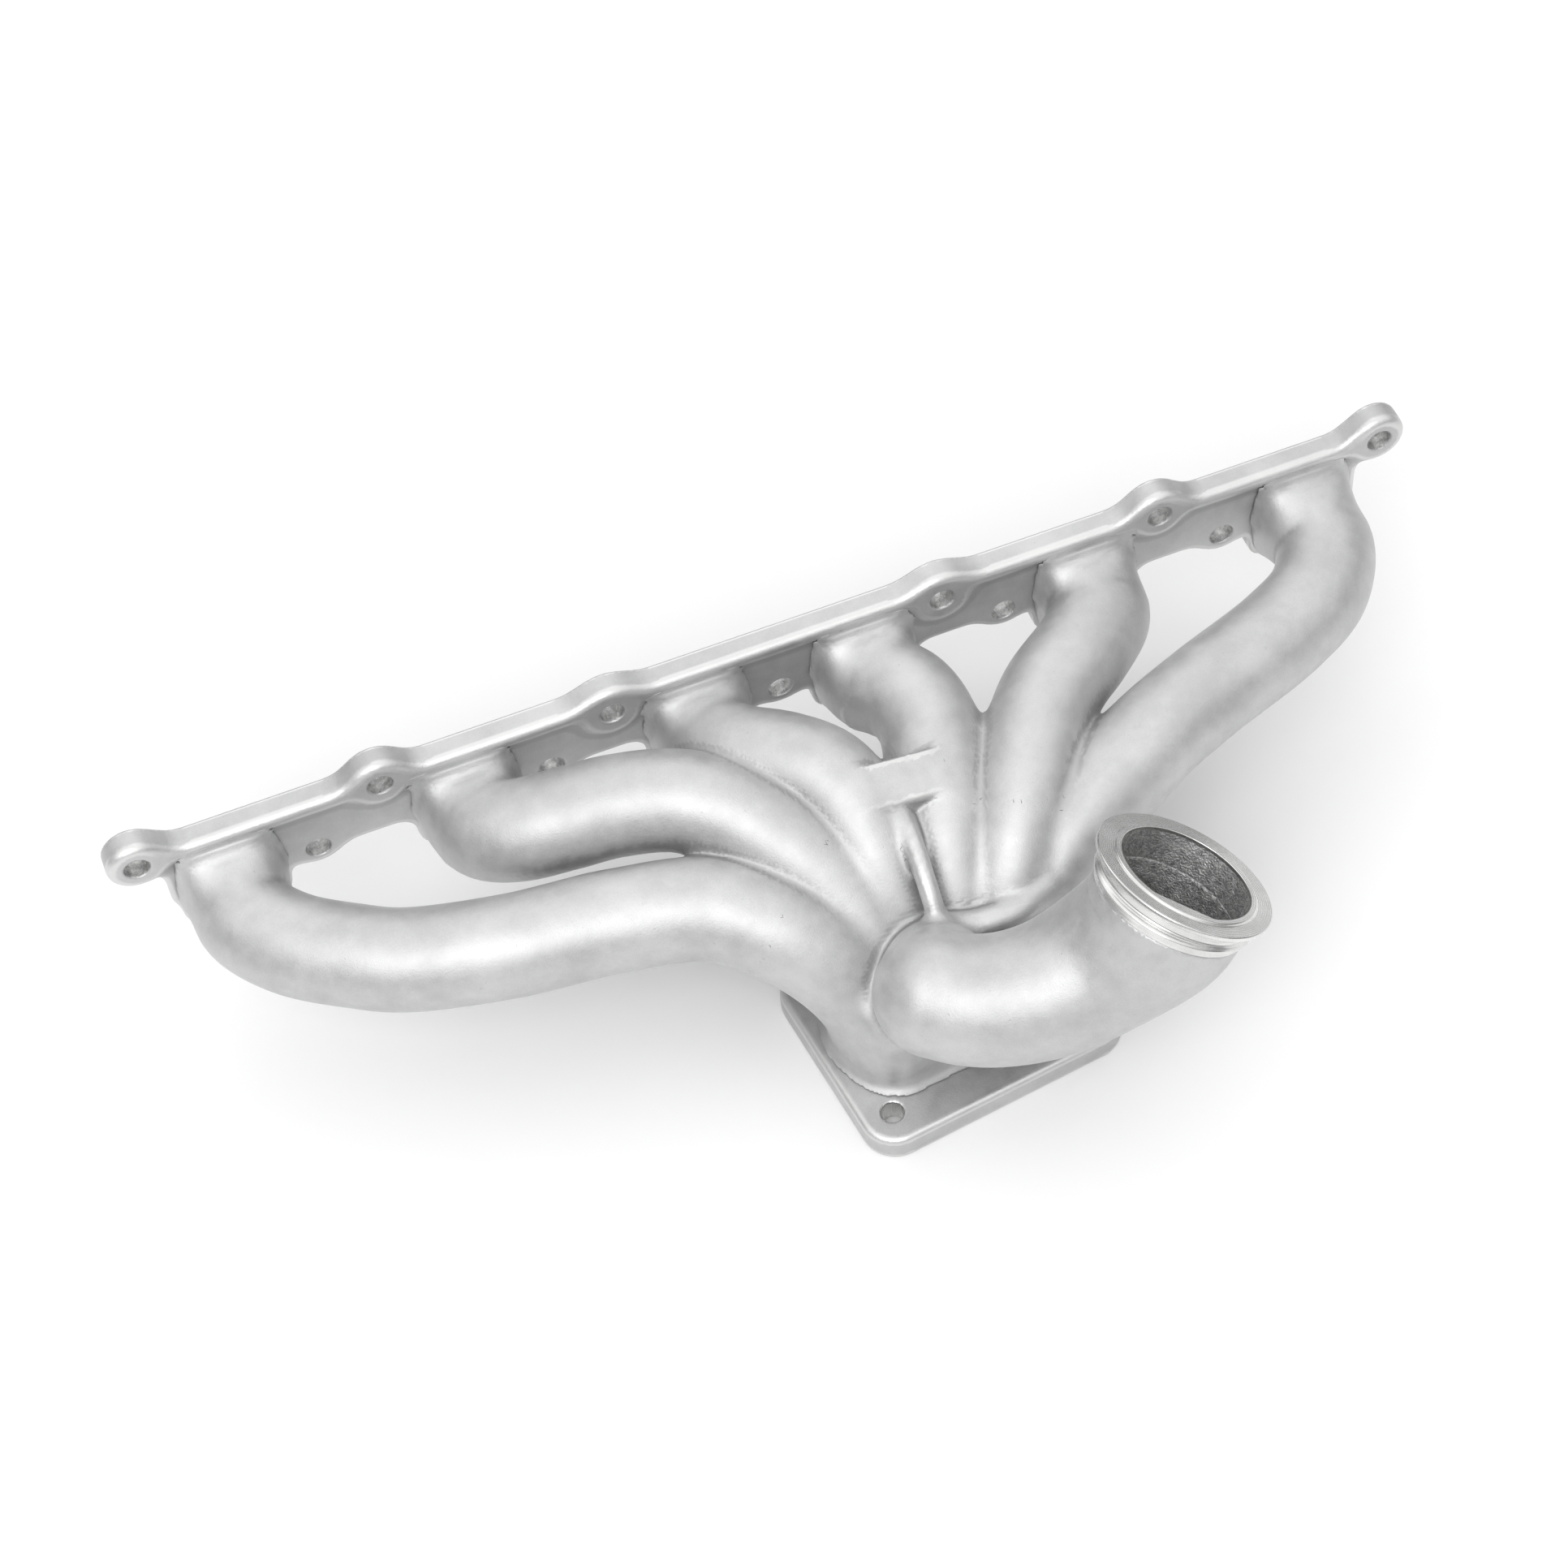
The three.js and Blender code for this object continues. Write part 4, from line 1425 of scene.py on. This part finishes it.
@dataclass(frozen=True)
class Casting:
    """The blended body: necks, runners, scrolls, rib, bridge and wastegate pipe.

    Attributes:
        head: the flange that the necks grow from.
        turbo: the flange that the scrolls stand on.
        gate_ring: the ring that the wastegate pipe ends in.
        radius: outside radius of a runner.
        wall: wall of the runners.
        gate_wall: wall of the wastegate pipe.
        margin: how far round each shape its field is worked out.
        gate_margin: the same for the wastegate pipe.
        neck_half: half size of a neck at the flange.
        neck_rise: how much higher its upper half is there.
        neck_end_half: its radius where it has run into the runner.
        neck_length: over which it turns from squarish to round.
        neck_melt: fillet between a neck and its runner.
        neck_reach: where the necks' own shape ends.
        neck_end: where the runners' nodes begin.
        neck_room: half size of the block that a neck is worked out in.
        stud_reach: how far from the flange the rounds about its studs stay clear.
        port_depth: where the squarish part of a passage ends.
        port_step: how much narrower than the port its passage is.
        scroll_top: height at which the scrolls close.
        scroll_corner: rounding of the scrolls' edges.
        scroll_foot: how far the scrolls' block goes on below the turbo flange's face.
        divider: wall between the scrolls.
        joints: share of each runner's length at which it enters its scroll.
        overlap: share of its length by which its two stretches overlap there.
        joins: fillet between each runner and those before it, and what is added to it behind the crotches.
        crotch_line: how far from the flange the added fillet ends, and the length over which it grows.
        fillets: sizes of the other fillets.
        bridge_middle: middle of the bridge plate's top.
        bridge_half: half its length, width and thickness.
        bridge_slope: how its top rises along X and Y.
        bridge_flat: half length of its flat stretch.
        bridge_sag: how fast its ends dip under the crowns, in 1/mm.
        bridge_edge: rounding of its edges.
        bridge_room: corners of the block that it is worked out in.
        rib_radius: radius of the rib's rounded crest.
        seam: gap between the castings and the flanges.
    """

    head: HeadFlange
    turbo: TurboFlange
    gate_ring: GateFlange
    radius: float = 21.5
    wall: float = 4.0
    gate_wall: float = 4.5
    margin: float = 12.0
    gate_margin: float = 14.0
    neck_half: float = 21.6
    neck_rise: float = 5.0
    neck_end_half: float = 15.0
    neck_length: float = 18.0
    neck_melt: float = 7.0
    neck_reach: float = -30.0
    neck_end: float = -21.3
    neck_room: float = 36.0
    stud_reach: float = -16.0
    port_depth: float = -27.0
    port_step: float = 0.2
    scroll_top: float = -22.0
    scroll_corner: float = 16.0
    scroll_foot: float = 40.0
    divider: float = 4.0
    joints: tuple[float, ...] = (0.78, 0.66, 0.60, 0.60, 0.70, 0.78)
    overlap: float = 0.03
    joins: tuple[tuple[float, float], ...] = ((4.2, 3.3), (4.2, 3.3), (4.2, 3.3), (3.4, 0.0), (4.2, 3.3))
    crotch_line: tuple[float, float] = (-88.0, 14.0)
    fillets: Fillets = Fillets()
    bridge_middle: Point = (24.0, -90.5, 25.1)
    bridge_half: Point = (26.0, 9.5, 4.0)
    bridge_slope: tuple[float, float] = (-0.131, 0.38)
    bridge_flat: float = 14.0
    bridge_sag: float = 0.03
    bridge_edge: float = 1.9
    bridge_room: tuple[Point, Point] = ((-12.0, -116.0, 0.0), (60.0, -64.0, 45.0))
    rib_radius: float = 4.2
    seam: float = 0.05

    def routes(self) -> list[Pipe]:
        """Returns the six runners, from the flange into the scrolls, cylinder 1 first.

        Returns:
            The pipes.
        """
        bends = (
            ((245, -34, 0), (232, -54, 0), (208, -68, 0), (164, -84, 0), (134, -96, -1),
             (103, -112, -6), (74, -128, -18), (56, -137, -40), (50, -140, -58)),
            ((140, -30, 2), (126, -44, 4), (102, -62, 5), (84, -84, 4), (70, -106, -1),
             (57, -124, -14), (48, -133, -34), (45, -138, -58)),
            ((41, -28, 3), (47, -40, 6), (49, -56, 6), (45, -74, 4), (40, -92, -1),
             (36, -110, -10), (34, -124, -26), (35, -132, -58)),
            ((-37, -30, 4), (-29, -43, 10), (-14, -56, 13), (-2, -69, 12), (4, -86, 6),
             (7, -104, -5), (8, -120, -24), (6, -134, -58)),
            ((-139, -31, 4), (-127, -41, 10), (-108, -46, 14), (-87, -49, 15), (-61, -57, 14),
             (-40, -73, 9), (-23, -94, 0), (-9, -115, -16), (-3, -130, -36), (-1, -138, -58)),
            ((-244, -32, 0), (-231, -50, 0), (-209, -66, 0), (-191, -76, 0), (-149, -87, 0),
             (-104, -93, 0), (-68, -102, -1), (-44, -118, -8), (-26, -132, -24), (-15, -142, -44),
             (-12, -146, -58)),
        )
        return [
            Pipe(tuple((*p, self.radius) for p in ((x, -5, 0), (x, self.neck_end, 0), *bend)))
            for x, bend in zip(self.head.ports(), bends)
        ]

    def gate_pipe(self) -> Pipe:
        """Returns the wastegate pipe from its elbow to its ring, flaring on the way.

        Returns:
            The pipe.
        """
        axis = np.array(self.gate_ring.axis) / np.linalg.norm(self.gate_ring.axis)
        back = np.array(self.gate_ring.centre) - axis * self.gate_ring.length
        return Pipe(((5, -171, -11, 26.5), (16, -179.5, -10.5, 26.8), (31, -186, -9, 27.4),
                     (49, -189.5, -6, 28.4), (70, -191, 3, 30), (*(back - axis * 9), 32.4), (*back, 33)))

    def gate_root(self) -> Pipe:
        """Returns the root that leads the pipe's elbow in between the scrolls."""
        return Pipe(((5, -171, -11, 26.5), (11, -157, -20, 23), (17, -144, -34, 20)))

    def rib(self) -> Pipe:
        """Returns the rib along the valley between the two groups of runners."""
        crest = ((19, -98, 16), (18.7, -115, 12.5), (17.5, -131, 7), (17.3, -142, -3))
        return Pipe(tuple((*p, self.rib_radius) for p in crest))

    def shoulder(self) -> Pipe:
        """Returns the rounded shoulder that stands behind the wastegate pipe."""
        return Pipe(((18, -142.5, -11, 6.5), (33, -147, -11, 6.5), (50, -147, -11, 6.5), (66, -142, -10, 6)))

    def stub(self, p: Cloud, x: float, start: float, end: float, rise: float) -> Array:
        """Returns a stub out of a port that turns from squarish to round.

        The section is a superellipse. Its power falls from the port's to 2, and its half size runs from start
        to end, over the stub's length.

        Args:
            p: the points.
            x: the port's place along the flange.
            start: half size at the flange.
            end: radius at the far end.
            rise: how much higher the upper half is at the flange.

        Returns:
            The field, without ends.
        """
        share = np.clip((-p.y - self.head.thickness) / self.neck_length, 0.0, 1.0)
        power = self.head.squareness + (2.0 - self.head.squareness) * share
        half = start + (end - start) * share
        height = half + np.where(p.z > 0, rise * (1.0 - share), 0.0)
        across, up = np.abs(p.x - x) / half, np.abs(p.z) / height
        return ((across ** power + up ** power) ** (1 / power) - 1) * half

    def stubs(self, grid: Grid, start: float, end: float, rise: float, until: float) -> list[Array]:
        """Returns the six stubs on the grid, each ending at y = until.

        Args:
            grid: the casting's grid.
            start: half size at the flange.
            end: radius at the far end.
            rise: how much higher the upper half is at the flange.
            until: where a stub ends, along Y.

        Returns:
            A field for each stub.
        """
        made = []
        room = self.neck_room
        for x in self.head.ports():
            out = np.full(grid.shape, self.margin, np.float32)
            block = grid.block((x - room, until - 4.0, -room), (x + room, 0.0, room))
            p = grid.cloud(block)
            out[block] = np.maximum(self.stub(p, x, start, end, rise), until - p.y)
            made.append(out)
        return made

    def scroll(self, p: Cloud, shrink: float) -> Array:
        """Returns the rounded block over the turbo flange, or its inside where shrink is the wall.

        Args:
            p: the points.
            shrink: how far inside the outer wall.

        Returns:
            The field.
        """
        x, y, z = self.turbo.centre
        local = p.moved((x, y, 0.0), self.turbo.yaw)
        bottom, top = z - self.scroll_foot, self.scroll_top - shrink
        raised = Cloud(local.x, local.y, local.z - (top + bottom) / 2)
        half = tuple(side - shrink for side in self.turbo.scroll_half)
        return rounded_block(raised, (*half, (top - bottom) / 2), self.scroll_corner - shrink)

    def bridge(self, grid: Grid) -> Array:
        """Returns the plate that lies on the crowns of the middle runners.

        Its top is the plane that touches both crowns. Past the flat stretch it dips by sag * d * d, so that
        its ends run out on the crowns and only its front and back edges show.

        Args:
            grid: the casting's grid.

        Returns:
            The field.
        """
        middle, half, slope = self.bridge_middle, self.bridge_half, self.bridge_slope
        out = np.full(grid.shape, self.margin, np.float32)
        block = grid.block(*self.bridge_room)
        p = grid.cloud(block)
        x, y = p.x - middle[0], p.y - middle[1]
        dip = self.bridge_sag * np.maximum(np.abs(x) - self.bridge_flat, 0.0) ** 2
        drop = (p.z - middle[2] - slope[0] * x - slope[1] * y + dip) / math.hypot(1.0, *slope)
        out[block] = rounded_block(Cloud(x, y, drop + half[2]), half, self.bridge_edge)
        return out

    def gate(self, grid: Grid, wall: float, margin: float) -> Array:
        """Returns the wastegate pipe with its root, or the passage inside where wall is not 0."""
        pipes = (self.gate_pipe(), self.gate_root())
        return np.minimum(*(along(grid, pipe.line(), -wall, margin) for pipe in pipes))

    def merged(self, grid: Grid, claims: Claims) -> Array:
        """Returns the runners and scrolls, melted together; each claims its own stretch.

        Args:
            grid: the casting's grid.
            claims: takes each node's claim.

        Returns:
            The field.
        """
        p = grid.cloud()
        side = p.x - self.turbo.divider_x
        scroll = self.scroll(p, 0.0)
        runners, collectors = [], {
            "collector_front": scroll + np.maximum(-side, 0) * OVER_THE_DIVIDER,
            "collector_rear": scroll + np.maximum(side, 0) * OVER_THE_DIVIDER,
        }
        for number, (route, joint) in enumerate(zip(self.routes(), self.joints), 1):
            free = along(grid, route.part(0.0, joint), 0.0, self.margin)
            last = along(grid, route.part(joint - self.overlap, 1.0), 0.0, self.margin)
            claims.claim(f"runner_{number}", np.where(p.y > self.neck_end, FAR, free))
            collector = "collector_front" if number <= 3 else "collector_rear"
            collectors[collector] = np.minimum(collectors[collector], last)
            runners.append(np.minimum(free, last))
        for name, values in collectors.items():
            claims.claim(name, values)
        outer = runners[0]
        behind = np.clip((p.y - self.crotch_line[0]) / self.crotch_line[1], 0.0, 1.0)
        for runner, (fillet, more) in zip(runners[1:], self.joins):
            outer = melt(outer, runner, fillet + more * behind)
        return melt(outer, scroll, self.fillets.scroll)

    def outer(self, grid: Grid, claims: Claims, slab: Array) -> Array:
        """Returns the whole casting's outer skin.

        Args:
            grid: the casting's grid.
            claims: takes each node's claim.
            slab: the head flange's field.

        Returns:
            The field, melted into both flanges.
        """
        p, fillets = grid.cloud(), self.fillets
        outer = self.merged(grid, claims)
        outer = melt(outer, along(grid, self.shoulder().line(), 0.0, self.margin), fillets.shoulder)
        stubs = self.stubs(grid, self.neck_half, self.neck_end_half, self.neck_rise, self.neck_reach)
        for number, stub in enumerate(stubs, 1):
            claims.claim(f"port_neck_{number}", np.where(p.y > self.neck_end, stub, FAR))
            outer = melt(outer, stub, self.neck_melt)
        additions = (
            ("wastegate_pipe", self.gate(grid, 0.0, self.gate_margin), fillets.gate),
            ("divider_rib", along(grid, self.rib().line(), 0.0, self.margin), fillets.rib),
            ("bridge_plate", self.bridge(grid), fillets.bridge),
        )
        for name, values, fillet in additions:
            claims.claim(name, values)
            outer = melt(outer, values, fillet)
        wall = (np.abs(p.x - self.turbo.divider_x) - self.divider / 2) * DIVIDER_FIRST
        claims.claim("scroll_divider", np.where(self.scroll(p, self.turbo.scroll_wall) < 0, wall, FAR))
        fillet = np.clip(-self.head.outline(p), fillets.head_rim, fillets.head)
        outer = melt(outer, slab + self.seam * 2, fillet)
        return melt(outer, p.z - self.turbo.centre[2] + self.seam * 2, fillets.turbo)

    def build(self, step: float) -> list[bpy.types.Object]:
        """Makes all the cast pieces.

        Args:
            step: spacing of the grid.

        Returns:
            The objects, one for each cast node.
        """
        grid = Grid((-272.0, -236.0, -68.0), (272.0, -7.0, 62.0), (step, step, step))
        p = grid.cloud()
        claims = Claims(np.full(grid.shape, FAR, np.float32), np.zeros(grid.shape, np.int8))
        slab = self.head.slab(p)
        outer = self.outer(grid, claims, slab)
        passage = self.passages(grid)
        values = np.maximum(outer, -passage)
        values = np.maximum(values, -slab - self.seam)
        values = np.maximum(values, np.where(p.y > self.stud_reach, -self.head.spot_faces(p), -FAR))
        values = np.maximum(values, self.turbo.centre[2] + self.seam - p.z)
        self.cut_gate_mouth(grid, values)
        values = np.maximum(values, self.turbo.spot_faces(p))
        skin = Skin(grid, values.astype(np.float32), outer)
        solid = values < 0
        bored = Bored(grid, -passage > outer)
        return [
            net_piece(Piece(f"cast_{name}", name, Slot.CAST, (CAST, BORE)), skin, solid & (claims.owner == k),
                      bored.finish_of)
            for k, name in enumerate(claims.names)
        ]

    def passages(self, grid: Grid) -> Array:
        """Returns the gas passages: the runners', the scrolls' either side of the divider and the pipe's.

        Args:
            grid: the casting's grid.

        Returns:
            The field, negative inside a passage.
        """
        p = grid.cloud()
        wall = self.divider / 2 - np.abs(p.x - self.turbo.divider_x)
        scrolls = self.scroll(p, self.turbo.scroll_wall)
        inside = np.minimum(scrolls, self.gate(grid, self.gate_wall, self.margin))
        for route in self.routes():
            inside = np.minimum(inside, along(grid, route.line(), -self.wall, self.margin))
        inside = np.maximum(inside, np.where(p.z < 0, wall, -FAR))
        half = self.head.port_half[0] - self.port_step
        for stub in self.stubs(grid, half, self.radius - self.wall, 0.0, self.port_depth):
            inside = np.minimum(inside, stub)
        return inside

    def cut_gate_mouth(self, grid: Grid, values: Array) -> None:
        """Ends the pipe flat where its ring starts.

        Args:
            grid: the casting's grid.
            values: the casting's field, which is changed.
        """
        axis = np.array(self.gate_ring.axis) / np.linalg.norm(self.gate_ring.axis)
        back = np.array(self.gate_ring.centre) - axis * (self.gate_ring.length - self.seam)
        room = self.gate_ring.radius + 7.5
        block = grid.block(back - room, back + room)
        p = grid.cloud(block)
        ahead = (p.x - back[0]) * axis[0] + (p.y - back[1]) * axis[1] + (p.z - back[2]) * axis[2]
        values[block] = np.maximum(values[block], ahead)


@dataclass(frozen=True)
class Bored:
    """Tells the inside of the passages from the outside of the casting.

    Attributes:
        grid: the casting's grid.
        inside: True where a passage's wall is nearer than the outer skin.
    """

    grid: Grid
    inside: Array

    def finish_of(self, middles: Array, normals: Array) -> Array:
        """Returns 1 for faces inside a passage and 0 for the rest.

        Args:
            middles: the faces' middles.
            normals: their normals.

        Returns:
            One number for each face.
        """
        low, step = np.array(self.grid.low), np.array(self.grid.step)
        at = np.clip(np.rint((middles - low) / step).astype(int), 0, np.array(self.inside.shape) - 1)
        return self.inside[tuple(at.T)].astype(int)


# ---------------------------------------------------------------- the studio


@dataclass(frozen=True)
class Studio:
    """A pale floor, broad soft lights and the camera.

    Attributes:
        floor: height of the floor, metres.
        azimuth: the camera's direction of view from +Y towards +X, degrees.
        elevation: its height above the horizon, degrees.
        roll: its turn about its own axis, degrees.
        distance: from the aim point, metres.
        aim: the point in the middle of the view, metres.
        lens: focal length, mm.
        floor_half: half the floor's side, metres.
    """

    floor: float
    azimuth: float = 15.94
    elevation: float = 54.20
    roll: float = -6.34
    distance: float = 1.4227
    aim: Point = (-0.0179, -0.0608, -0.010)
    lens: float = 78.26
    floor_half: float = 30.0

    def build(self) -> None:
        """Sets up the whole studio."""
        self.lay_floor()
        self.light_sky()
        self.hang_light("Key", (-0.7, -1.2, 1.4), 1.2, 14.0)
        self.hang_light("Back", (0.3, 1.3, 1.3), 1.0, 2.0)
        self.set_camera()
        bpy.context.scene.view_settings.view_transform = "Standard"

    def lay_floor(self) -> None:
        """Makes the pale floor."""
        mesh = bpy.data.meshes.new("Floor")
        corners = [(x * self.floor_half, y * self.floor_half, self.floor)
                   for x, y in ((-1, -1), (1, -1), (1, 1), (-1, 1))]
        mesh.from_pydata(corners, [], [(0, 1, 2, 3)])
        shader = Shader("studio_floor")
        paper = shader.noise(3.0, 4.0)
        colour = shader.blend(paper, (0.85, 0.85, 0.85, 1), (0.88, 0.88, 0.88, 1))
        normal = shader.bump(paper, 0.0005, 0.1)
        mesh.materials.append(shader.finish(colour, 0.9, normal, 0.0))
        floor = bpy.data.objects.new("Floor", mesh)
        bpy.context.scene.collection.objects.link(floor)

    def light_sky(self) -> None:
        """Makes the surroundings: bright overhead and greyer towards the horizon."""
        world = bpy.data.worlds.new("Studio")
        world.use_nodes = True
        bpy.context.scene.world = world
        tree = NodeTree(world.node_tree)
        place = tree.node("ShaderNodeTexCoord", {}, {}, "Generated")
        height = tree.node("ShaderNodeSeparateXYZ", {}, {0: place}, "Z")
        colour = tree.blend(height.ramp(0.0, 0.8), (0.14, 0.14, 0.145, 1), (1.25, 1.25, 1.25, 1))
        tree.feed(tree.nodes["Background"].inputs["Color"], colour)
        tree.nodes["Background"].inputs["Strength"].default_value = 1.0

    def hang_light(self, name: str, place: Point, size: float, power: float) -> None:
        """Hangs a square soft light that faces the manifold.

        Args:
            name: the light's name.
            place: where it hangs, metres.
            size: its side, metres.
            power: its power, watts.
        """
        data = bpy.data.lights.new(name, "AREA")
        data.size, data.energy = size, power
        light = bpy.data.objects.new(name, data)
        light.location = place
        light.rotation_euler = (Vector(self.aim) - Vector(place)).to_track_quat("-Z", "Y").to_euler()
        bpy.context.scene.collection.objects.link(light)

    def set_camera(self) -> None:
        """Places the camera: back along its direction of view from the aim point, then rolled."""
        data = bpy.data.cameras.new("Camera")
        data.lens, data.sensor_width = self.lens, 36.0
        a, e, r = (math.radians(v) for v in (self.azimuth, self.elevation, self.roll))
        back = Vector((-math.sin(a) * math.cos(e), -math.cos(a) * math.cos(e), math.sin(e)))
        level = Vector((math.cos(a), -math.sin(a), 0.0))
        right = level * math.cos(r) + back.cross(level) * math.sin(r)
        turn = Matrix((right, back.cross(right), back)).transposed()
        camera = bpy.data.objects.new("Camera", data)
        camera.matrix_world = Matrix.Translation(Vector(self.aim) + back * self.distance) @ turn.to_4x4()
        bpy.context.scene.collection.objects.link(camera)
        bpy.context.scene.camera = camera


def main() -> None:
    """Builds the manifold's pieces, the stage and the camera."""
    logging.basicConfig(level=logging.INFO, format="%(name)s: %(message)s")
    coarse = 1.0
    head, turbo, gate = HeadFlange(), TurboFlange(), GateFlange()
    made = [head.build(1.1 * coarse), turbo.build(0.8 * coarse), gate.build(192)]
    made += Casting(head, turbo, gate).build(1.4 * coarse)
    Studio(CAD_BOX[0].z).build()
    LOG.info("%d pieces", len(made))


if __name__ == "__main__":
    main()
